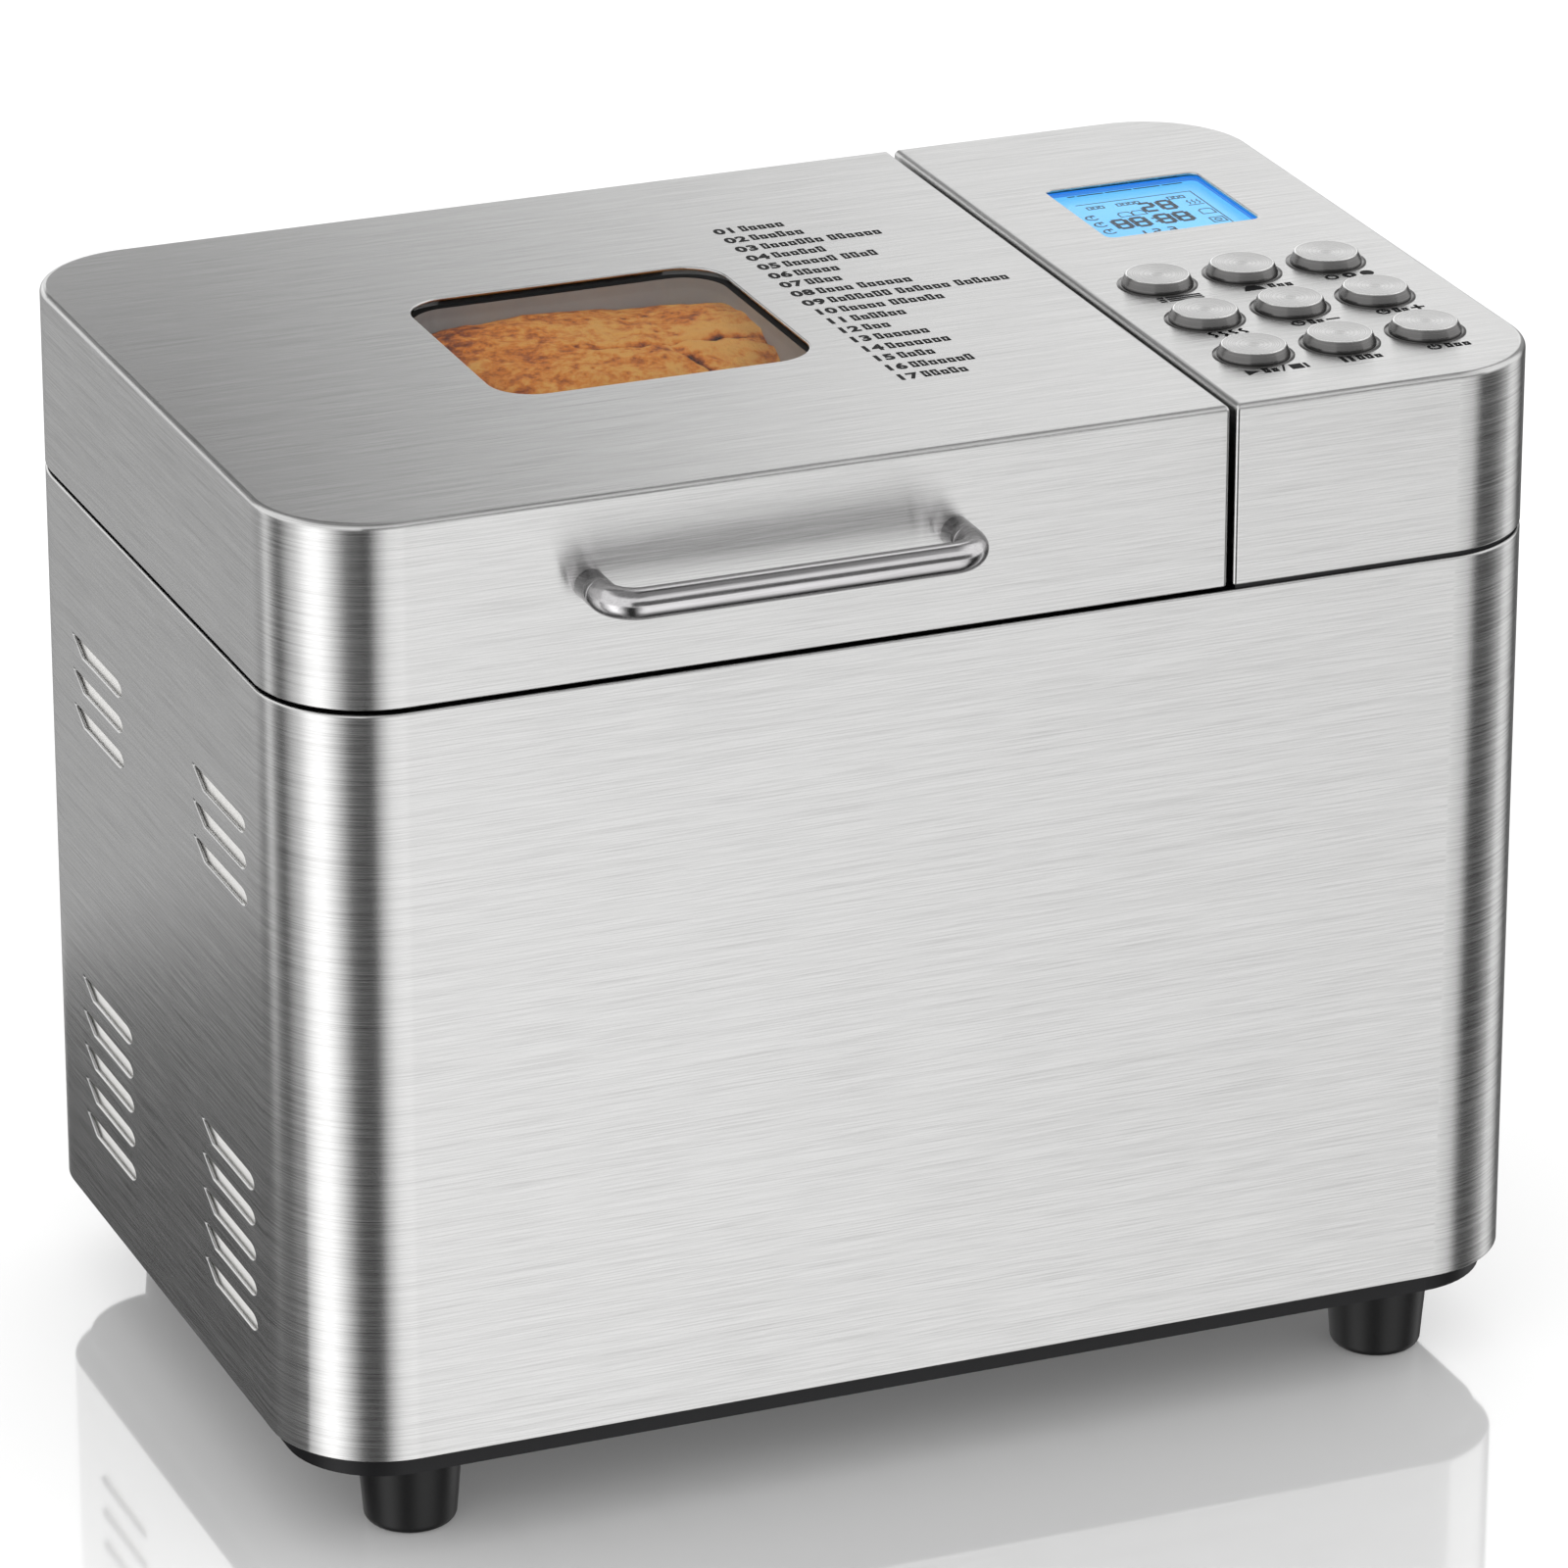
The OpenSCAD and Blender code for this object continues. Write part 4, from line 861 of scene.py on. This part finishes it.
def circle(r, count):
    """Points round a circle about nought."""
    return [Vector((r * math.cos(math.tau * i / count), r * math.sin(math.tau * i / count), 0))
            for i in range(count)]


def round_hole(x, y, r):
    return lambda grow: [(x + p.x, y + p.y) for p in circle(r + 0.35 * grow, 64)]


def middle_of(name):
    low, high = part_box(name)
    return (low + high) / 2


def opening_in_front_of(pane):
    """The middle, width and depth of the opening that a pane sits under."""
    low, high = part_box(pane)
    return (low + high) / 2, high.x - low.x - 2 * LAP, high.y - low.y - 2 * LAP


display_mid, display_wide, display_deep = opening_in_front_of("display_lens")
panel_holes = [rounded_hole(display_mid.x, display_mid.y, display_wide, display_deep, 2.5 * MM)]
panel_holes += [round_hole(*middle_of(name + "_button").xy, BUTTON_HOLE) for name in BUTTONS]
panel_skin = cap("panel_skin", "control_housing", (CORNER, CORNER, SEAM_CORNER, SEAM_CORNER),
                 (24, 24, 6, 6), panel_holes)
panel_skin.data.materials.append(steel)
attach(panel_skin, "root")
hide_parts("control_housing")

dress(black_moulding, "control_frame")
dress(green_board, "control_board")
dress(moulded("switch_moulding", (0.02, 0.02, 0.02), (0.05, 0.05, 0.05), 0.35, 0.5), "tact_switches")


# ---- Display ------------------------------------------------------------------
# A back-lit liquid-crystal cell under a clear acrylic lens. The glowing cell sits
# at the bottom of a moulded blue well, and its dark segments lie on the glass.

CELL_RAISED = 2.9 * MM          # the glass stands this far above the module's frame
WELL_WALL, WELL_GAP = 1.6 * MM, 0.5 * MM


def slab(bm, low, high, soft):
    """A block with its twelve edges rounded off."""
    made = bmesh.ops.create_cube(bm, size=1.0)["verts"]
    for v in made:
        v.co = Vector((low[k] if v.co[k] < 0 else high[k] for k in range(3)))
    edges = list({edge for v in made for edge in v.link_edges})
    bmesh.ops.bevel(bm, geom=edges, offset=soft, segments=3, profile=0.5, affect="EDGES")


def lit_cell():
    low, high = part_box("display_module")
    bm = bmesh.new()
    slab(bm, low, (high.x, high.y, high.z + CELL_RAISED), 0.4 * MM)
    return finished(bm, "display_cell")


def lit(name, deep, pale, strength, rough):
    """Plastic or glass with light behind it, a little brighter where the lamps sit."""
    made, tree, shader = material(name, 0.0, Emission_Strength=strength)
    place = object_place(tree)
    cloud, grain = mottled(tree, place, 38.0), mottled(tree, place, 2600.0)
    tree.links.new(blend(tree, cloud, deep, pale), shader.inputs["Emission Color"])
    shade_between(tree, shader, cloud, [0.25 * c for c in deep], [0.25 * c for c in pale])
    rough_between(tree, shader, grain, rough, rough + 0.1)
    bump(tree, shader, grain, 0.1, 0.00002)
    return made


def band(bm, low, high, wall, z0, z1, r):
    """An upright band round a rounded rectangle, closed top and bottom."""
    layer = bm.loops.layers.uv.verify()
    steps = (6,) * 4
    inner = rounded(low[0], high[0], low[1], high[1], (r,) * 4, steps)
    outer = rounded(low[0] - wall, high[0] + wall, low[1] - wall, high[1] + wall, (r + wall,) * 4, steps)
    line = [(inner, z0), (inner, z1), (outer, z1), (outer, z0)]
    rings = [[bm.verts.new((x, y, z)) for x, y in outline] for outline, z in line]
    loft(bm, rings + rings[:1], layer)
    bmesh.ops.recalc_face_normals(bm, faces=bm.faces)


def clear_pane(name, tint, ior):
    """Toughened glass or clear acrylic, faintly streaked where it has been wiped."""
    made, tree, shader = material(name, 0.0, Transmission_Weight=1.0, IOR=ior)
    streaks = mottled(tree, object_place(tree), 26.0, 3.0, distortion=1.2)
    shade_between(tree, shader, streaks, [0.97 * c for c in tint], tint)
    rough_between(tree, shader, streaks, 0.0, 0.02)
    return made


cell = lit_cell()
cell.data.materials.append(lit("cell_glow", (0.07, 0.46, 0.92), (0.15, 0.62, 1.0), 0.9, 0.25))
even_shading(cell)
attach(cell, "root")
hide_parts("display_module")
cell_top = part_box("display_module")[1].z + CELL_RAISED

half_well = Vector((display_wide / 2 + WELL_GAP, display_deep / 2 + WELL_GAP, 0))
well_mesh = bmesh.new()
band(well_mesh, display_mid - half_well, display_mid + half_well, WELL_WALL, cell_top,
     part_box("display_lens")[0].z, 2 * MM)
well = finished(well_mesh, "display_well")
well.data.materials.append(lit("well_glow", (0.006, 0.17, 0.68), (0.016, 0.27, 0.84), 0.85, 0.3))
even_shading(well)
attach(well, "root")

dress(clear_pane("display_acrylic", (0.96, 0.985, 1.0), 1.07), "display_lens")


class Marks:
    """Flat printed or etched marks, drawn in millimetres about a point on a surface."""

    def __init__(self, name, surface, thick=0.05 * MM):
        self.bm, self.name, self.z, self.thick = bmesh.new(), name, surface, thick

    def shape(self, points, x, y):
        verts = [self.bm.verts.new((x + px * MM, y + py * MM, self.z)) for px, py in points]
        face = self.bm.faces.new(verts)
        face.normal_update()
        if face.normal.z < 0:
            face.normal_flip()

    def line(self, points, width, x, y, closed=False):
        """A stroke of even width through the points."""
        points = [Vector(p) for p in points]
        pairs = list(zip(points, points[1:] + points[:1] if closed else points[1:]))
        for a, b in pairs:
            along = (b - a).normalized() * width / 2
            side = Vector((-along.y, along.x))
            self.shape([a - along * 0.9 - side, b + along * 0.9 - side, b + along * 0.9 + side,
                        a - along * 0.9 + side], x, y)

    def disc(self, r, x, y, start=0, turn=360, hole=0.0, count=28):
        turns = [math.radians(start + turn * i / count) for i in range(count + 1)]
        arc = [(math.cos(a), math.sin(a)) for a in turns]
        for p, q in zip(arc, arc[1:]):
            quad = [(p[0] * r, p[1] * r), (q[0] * r, q[1] * r)]
            quad += [(q[0] * hole, q[1] * hole), (p[0] * hole, p[1] * hole)] if hole else [(0, 0)]
            self.shape(quad, x, y)

    def figure(self, digit, tall, x, y):
        """One seven-segment figure with its lower left at x, y."""
        w, h, t = tall * 0.52, tall / 2, tall * 0.2
        gap = t * 0.55
        bars = {"a": ((gap, tall), (w - gap, tall)), "b": ((w, tall - gap), (w, h + gap)),
                "c": ((w, h - gap), (w, gap)), "d": ((gap, 0), (w - gap, 0)), "e": ((0, gap), (0, h - gap)),
                "f": ((0, h + gap), (0, tall - gap)), "g": ((gap, h), (w - gap, h))}
        for key in {"1": "bc", "2": "abged", "3": "abcdg", "8": "abcdefg"}[digit]:
            self.line(bars[key], t, x, y)

    def done(self, finish, body):
        for face in list(self.bm.faces):
            grown = bmesh.ops.extrude_face_region(self.bm, geom=[face])
            bmesh.ops.translate(self.bm, vec=(0, 0, self.thick),
                                verts=[g for g in grown["geom"] if isinstance(g, bmesh.types.BMVert)])
        bmesh.ops.recalc_face_normals(self.bm, faces=self.bm.faces)
        made = finished(self.bm, self.name)
        for face in made.data.polygons:
            face.use_smooth = False
        made.data.materials.append(finish)
        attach(made, body)
        return made


def draw_segments():
    """Figures, two loaves, a frame and small signs, in millimetres from the middle of the opening."""
    ink = Marks("display_segments", cell_top)
    x, y = display_mid.x, display_mid.y

    def draw(points, width=0.36, closed=False):
        ink.line(points, width, x, y, closed)

    for k, figure in enumerate("28"):
        ink.figure(figure, 6.6, x + (-0.4 + 5.4 * k) * MM, y + 2.0 * MM)
    for k, figure in enumerate("8888"):
        ink.figure(figure, 6.8, x + (-12.5 + 5.3 * k + (1.8 if k > 1 else 0)) * MM, y - 8.4 * MM)
    for rise in (-6.4, -3.6):
        ink.disc(0.5, x - 1.3 * MM, y + rise * MM)
    loaf_sign = ((-8.6, 0.4), (-4.9, 0.4), (-4.9, 2.6), (-5.6, 3.7), (-7.9, 3.7), (-8.6, 2.6))
    for k in (0, 3.9):
        draw([(px + k, py) for px, py in loaf_sign], closed=True)
    draw([(-16, 13.4), (17.2, 13.4), (17.2, -14)], 0.32)
    for k in range(12):
        draw([(-15 + 2.75 * k, 20.6), (-13.4 + 2.75 * k + 0.5 * (k % 3), 20.6)], 0.6)
    for start, cells in ((-14.2, 3), (-5.6, 4), (9.2, 3)):
        for k in range(cells):
            left = start + 1.75 * k
            draw([(left, 9.0), (left + 1.15, 9.0), (left + 1.15, 10.9), (left, 10.9)], 0.36, closed=True)
    for k in range(3):
        draw([(px + 1.4 * k, py) for px, py in ((12.9, 3.6), (13.3, 4.6), (12.8, 5.6), (13.2, 6.6))], 0.34)
    draw([(12.2, 2.6), (16.4, 2.6)])
    draw([(12.6, -5.4), (16.4, -5.4), (16.4, -2.4), (15.6, -1.4), (13.4, -1.4), (12.6, -2.4)], closed=True)
    draw([(12.6, -12.6), (16.4, -12.6), (16.4, -8.8), (12.6, -8.8)], closed=True)
    ink.disc(1.1, x + 14.5 * MM, y - 10.7 * MM, hole=0.7)
    for middle in (2.4, -3.4, -9.4):
        ink.disc(1.9, x - 16.2 * MM, y + middle * MM, hole=1.4, turn=285, start=40)
        draw([(-16.2, middle), (-16.2, middle + 1.2), (-15.2, middle + 1.9)], 0.4)
    for k, figure in enumerate("123"):
        ink.figure(figure, 3.4, x + (-9.8 + 4.4 * k) * MM, y - 15.4 * MM)
    finish = moulded("segment_ink", (0.0, 0.012, 0.035), (0.003, 0.025, 0.06), 0.3, 0.4, shine=0.1)
    return ink.done(finish, "root")


draw_segments()


# ---- Buttons ------------------------------------------------------------------
# Nine spun caps of solid steel: a straight skirt, a bevelled shoulder coloured dark
# as painted shade, and a crown turned very slightly hollow, so that the turning
# marks throw a cone of light. A painted highlight rings the crown's edge.

CROWN = 8.1 * MM                # radius of the flat top


def lathe(bm, layer, line, sides):
    """Turns a line of (radius, height) points about the upright axis."""
    rings = [[p + Vector((0, 0, z)) for p in circle(max(r, 0.01 * MM), sides)] for r, z in line]
    rows = loft(bm, rings, layer)
    for row in (rows[0], rows[-1]):
        bm.faces.new(row)
    bmesh.ops.recalc_face_normals(bm, faces=bm.faces)


def turned_cap(name):
    low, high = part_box(name)
    centre = (low + high) / 2
    flange_r = (high.x - low.x) / 2
    skirt_r = flange_r - 1.15 * MM
    panel_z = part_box("control_housing")[1].z
    hollow = ((0, 0.30), (0.25, 0.28), (0.5, 0.22), (0.75, 0.12))
    rim = ((-0.35, -0.01), (-0.12, 0), (0.1, -0.05), (0.3, -0.3))
    skirt = ((-0.12, 1.05), (0, 0.8), (0, 0.2), (-0.35, -0.1))
    line = [(CROWN * share, high.z - down * MM) for share, down in hollow]
    line += [(CROWN + out * MM, high.z + up * MM) for out, up in rim]
    line += [(skirt_r + out * MM, panel_z + up * MM) for out, up in skirt]
    line += [(skirt_r - 0.35 * MM, low.z + 6 * MM), (flange_r, low.z + 6 * MM), (flange_r, low.z + 5 * MM),
             (3 * MM, low.z + 5 * MM), (3 * MM, low.z)]
    bm = bmesh.new()
    lathe(bm, bm.loops.layers.uv.new("brushing"), [(r, z - centre.z) for r, z in line], 64)
    return finished(bm, name.replace("button", "cap"), centre)


def spun_steel():
    made, tree, shader = material("spun_steel", 1.0, Anisotropic=0.95, Anisotropic_Rotation=0.25)
    x, y, z = node(tree, "ShaderNodeSeparateXYZ", {"Vector": object_place(tree)}).outputs
    squares = arithmetic(tree, "MULTIPLY_ADD", x, x, arithmetic(tree, "MULTIPLY", y, y))
    radius = arithmetic(tree, "SQRT", squares)
    turned = node(tree, "ShaderNodeCombineXYZ", {"Y": radius, "Z": arithmetic(tree, "MULTIPLY", z, 0.5)})
    lines = use(tree, BRUSHED_LINES, Place=turned.outputs[0], Along=1.0, Across=3600.0)
    crown = blend(tree, lines["Lines"], (0.3, 0.298, 0.295), (0.6, 0.598, 0.594))
    # Painted shade: the shoulder is coloured far darker than the crown, though it is the same steel
    shoulder = blend(tree, lines["Lines"], (0.1, 0.098, 0.097), (0.2, 0.197, 0.195))
    both = blend(tree, spread(tree, radius, CROWN + 0.1 * MM, CROWN + 0.25 * MM), crown, shoulder)
    # Painted highlight: a thin near-white ring coloured round the crown's edge
    off_highlight_ring = arithmetic(tree, "ABSOLUTE", arithmetic(tree, "SUBTRACT", radius, CROWN + 0.02 * MM))
    shade_between(tree, shader, spread(tree, off_highlight_ring, 0.22 * MM, 0.1 * MM), both, (0.95, 0.95, 0.94))
    rough_between(tree, shader, lines["Lines"], 0.18, 0.28)
    bump(tree, shader, lines["Height"], 0.2, 0.00003)
    tree.links.new(node(tree, "ShaderNodeTangent", direction_type="RADIAL", axis="Z").outputs[0],
                   shader.inputs["Tangent"])
    return made


spun = spun_steel()
for button in BUTTONS:
    cap_piece = turned_cap(button + "_button")
    cap_piece.data.materials.append(spun)
    even_shading(cap_piece)
    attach(cap_piece, button + "_key")
    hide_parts(button + "_button")


# ---- Lid ----------------------------------------------------------------------
# A pressed cap of brushed sheet over a black frame, lined with aluminised steel. A
# silicone gasket seals it, and the glass lies in a moulded frame under the skin.

window_mid, window_wide, window_deep = opening_in_front_of("lid_glass")
lid_skin = cap("lid_skin", "lid_shell", (SEAM_CORNER, SEAM_CORNER, CORNER, CORNER), (6, 6, 24, 24),
               [rounded_hole(window_mid.x, window_mid.y, window_wide, window_deep, 12 * MM)])
lid_skin.data.materials.append(steel)
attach(lid_skin, "lid")
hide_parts("lid_shell")

dress(aluminised, "lid_liner")
dress(black_moulding, "lid_frame")
dress(moulded("window_moulding", (0.33, 0.33, 0.33), (0.45, 0.45, 0.45), 0.4, 0.55), "window_frame")
dress(moulded("gasket_silicone", (0.5, 0.48, 0.45), (0.68, 0.66, 0.62), 0.45, 0.62), "lid_gasket")
dress(clear_pane("window_glass", (0.97, 0.99, 0.985), 1.05), "lid_glass")


# ---- Lid handle ---------------------------------------------------------------
# An 8 mm round bar, bent twice and polished, with its two legs screwed to the
# lid's front wall from inside. A fine joint line shows where each leg is let in.

BAR_BEND = 8 * MM


def sweep(bm, layer, centres, radii, sides):
    """A round bar along a line of points, with its own radius at each point."""
    up = Vector((0, 0, 1))
    rings = []
    for i, centre in enumerate(centres):
        ahead = (centres[min(i + 1, len(centres) - 1)] - centres[max(i - 1, 0)]).normalized()
        across = ahead.cross(up).normalized()
        rise = across.cross(ahead)
        rings.append([centre + p.x * across + p.y * rise for p in circle(radii[i], sides)])
    rows = loft(bm, rings, layer)
    for row in (rows[0], rows[-1]):
        bm.faces.new(row)
    bmesh.ops.recalc_face_normals(bm, faces=bm.faces)


def handle_bar():
    low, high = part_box("lid_handle")
    r = (high.z - low.z) / 2
    z = (low.z + high.z) / 2
    left, right, front, back = low.x + r, high.x - r, low.y + r, high.y
    leg_cut = front + BAR_BEND + 1.2 * MM
    half = [(Vector((left, back, z)), r)]
    for step, size in ((0.35, r), (0.12, r), (0.0, r - 0.22 * MM), (-0.12, r), (-0.35, r)):
        half.append((Vector((left, leg_cut + step * MM, z)), size))
    bend = Vector((left + BAR_BEND, front + BAR_BEND, z))
    for i in range(13):
        a = math.radians(180 + 90 * i / 12)
        half.append((bend + BAR_BEND * Vector((math.cos(a), math.sin(a), 0)), r))
    middle = (left + right) / 2
    mirrored = [(Vector((2 * middle - p.x, p.y, p.z)), size) for p, size in reversed(half)]
    line = half + mirrored
    bm = bmesh.new()
    sweep(bm, bm.loops.layers.uv.new("brushing"), [p for p, _ in line], [size for _, size in line], 48)
    return finished(bm, "handle_bar")


bar = handle_bar()
bar.data.materials.append(drawn_metal("polished_bar", (0.5, 0.49, 0.495), (0.62, 0.61, 0.62), 0.14, 0.22,
                                      70.0, 3200.0, 60.0, 0.15, 0.00003))
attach(bar, "lid")
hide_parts("lid_handle")

dress(plated_screws, "handle_screws")


# ---- Hinges -------------------------------------------------------------------
# Two black moulded hinges screwed to the backs of the body and the lid, each
# turning on a plated steel pin.

dress(black_moulding, "hinge_brackets", "hinge_arms")
dress(plated_screws, "hinge_pins")


# ---- Printed list and button signs ---------------------------------------------
# Black screen print on the brushed skin: programme numbers 01 to 17, each with plain
# blocks as long as its name would be, and one simple sign for each button.

print_ink = moulded("screen_ink", (0.004, 0.004, 0.005), (0.012, 0.012, 0.012), 0.5, 0.65, grain=5000.0,
                    depth=0.00001, shine=0.08)
skin_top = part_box("lid_shell")[1].z
LIST_LEFT, LIST_TOP, LIST_PITCH, FIGURE_HIGH = 8.1, 61.1, 7.66, 4.1
BLOCK_PITCH = 2.5
WORDS = ((5,), (6,), (7, 6), (6,), (6, 4), (5,), (4,), (4, 6), (7, 6, 6), (5, 6), (6,), (3,), (6,), (7,),
         (4,), (7,), (5,))


def printed_figures(marks, text, high, x, y):
    """Figures in the plain built-in face, made heavy, laid flat among the other marks."""
    curve = bpy.data.curves.new("figures", "FONT")
    curve.body, curve.size, curve.offset = text, high / 0.73, 0.055 * high
    curve.resolution_u = 3
    curve.space_character = 1.08
    holder = bpy.data.objects.new("figures", curve)
    mesh = holder.to_mesh()
    made = [marks.bm.verts.new((1.05 * v.co.x + x, v.co.y + y, marks.z)) for v in mesh.vertices]
    for face in mesh.polygons:
        marks.bm.faces.new([made[i] for i in face.vertices])
    holder.to_mesh_clear()
    bpy.data.objects.remove(holder)
    bpy.data.curves.remove(curve)


def blocks(marks, count, high, x, y, pitch, stroke, seed):
    """A word's worth of plain hollow blocks, some of them taller."""
    dice = random.Random(seed)
    for k in range(count):
        tall = high if k == 0 or dice.random() < 0.25 else 0.74 * high
        left, wide = pitch * k + stroke / 2, pitch - stroke - 0.55
        marks.line([(left, stroke / 2), (left + wide, stroke / 2), (left + wide, tall - stroke / 2),
                    (left, tall - stroke / 2)], stroke, x, y, closed=True)


programmes = Marks("programme_list", skin_top)
for k, words in enumerate(WORDS):
    line_y = body_mid_y + (LIST_TOP - LIST_PITCH * k) * MM
    printed_figures(programmes, "%02d" % (k + 1), FIGURE_HIGH * MM, LIST_LEFT * MM, line_y)
    left = LIST_LEFT + 7.3
    for count in words:
        blocks(programmes, count, 4.1, left * MM, line_y, BLOCK_PITCH, 0.72, 100 * k + count)
        left += BLOCK_PITCH * count + 1.4
programmes.done(print_ink, "lid")

signs = Marks("button_signs", skin_top)


def button_sign(name):
    """One simple sign in front of its button, about 13 mm wide and 3.4 mm high."""
    middle = middle_of(name + "_button")
    x, y = middle.x + 1.0 * MM, middle.y - 12.1 * MM

    def draw(points, width=0.85, closed=False):
        signs.line(points, width, x, y, closed)

    if name == "menu":
        for k in (-1.35, 0, 1.35):
            draw([(-5.6, k), (-4.6, k)], 0.8)
            draw([(-3.2, k), (5.8, k)], 0.8)
    elif name == "weight":
        signs.shape([(-6.4, -1.7), (-0.4, -1.7), (-1.3, 1.0), (-5.5, 1.0)], x, y)
        draw([(-4.4, 1.5), (-2.4, 1.5)])
        blocks(signs, 3, 3.2, x + 1.0 * MM, y - 1.7 * MM, 2.3, 0.75, 5)
    elif name == "color":
        for k, hole in ((-5, 1.05), (0, 0.6), (5, 0.0)):
            signs.disc(1.85, x + k * MM, y, hole=hole)
    elif name == "bake":
        for k in (-4.2, -1.4, 1.4, 4.2):
            draw([(k + 0.6 * math.sin(t * math.pi / 3), -1.8 + 0.6 * t) for t in range(7)])
    elif name in ("time_minus", "time_plus"):
        signs.disc(1.9, x - 4.4 * MM, y, hole=1.15)
        draw([(-4.4, 1.0), (-4.4, 0), (-3.6, 0)], 0.5)
        blocks(signs, 2, 3.2, x - 1.6 * MM, y - 1.7 * MM, 2.3, 0.75, 6)
        draw([(3.8, 0), (6.8, 0)])
        if name == "time_plus":
            draw([(5.3, -1.5), (5.3, 1.5)])
    elif name == "start":
        signs.shape([(-8.6, -1.8), (-8.6, 1.8), (-4.8, 0)], x, y)
        blocks(signs, 2, 3.2, x - 4.0 * MM, y - 1.7 * MM, 2.3, 0.75, 7)
        draw([(1.0, -1.9), (2.4, 1.9)], 0.6)
        signs.shape([(3.6, -1.7), (7.0, -1.7), (7.0, 1.7), (3.6, 1.7)], x, y)
        draw([(8.0, -1.3), (8.0, 1.3)])
    elif name == "pause":
        for k in (-5.6, -3.6):
            draw([(k, -1.6), (k, 1.6)], 1.15)
        blocks(signs, 3, 3.2, x - 1.9 * MM, y - 1.7 * MM, 2.4, 0.75, 8)
    else:
        signs.disc(1.9, x - 4.2 * MM, y, hole=1.15, start=120, turn=300)
        draw([(-4.2, 0.2), (-4.2, 2.1)], 0.65)
        blocks(signs, 3, 3.2, x - 1.2 * MM, y - 1.7 * MM, 2.4, 0.75, 9)


for button in BUTTONS:
    button_sign(button)
signs.done(print_ink, "root")
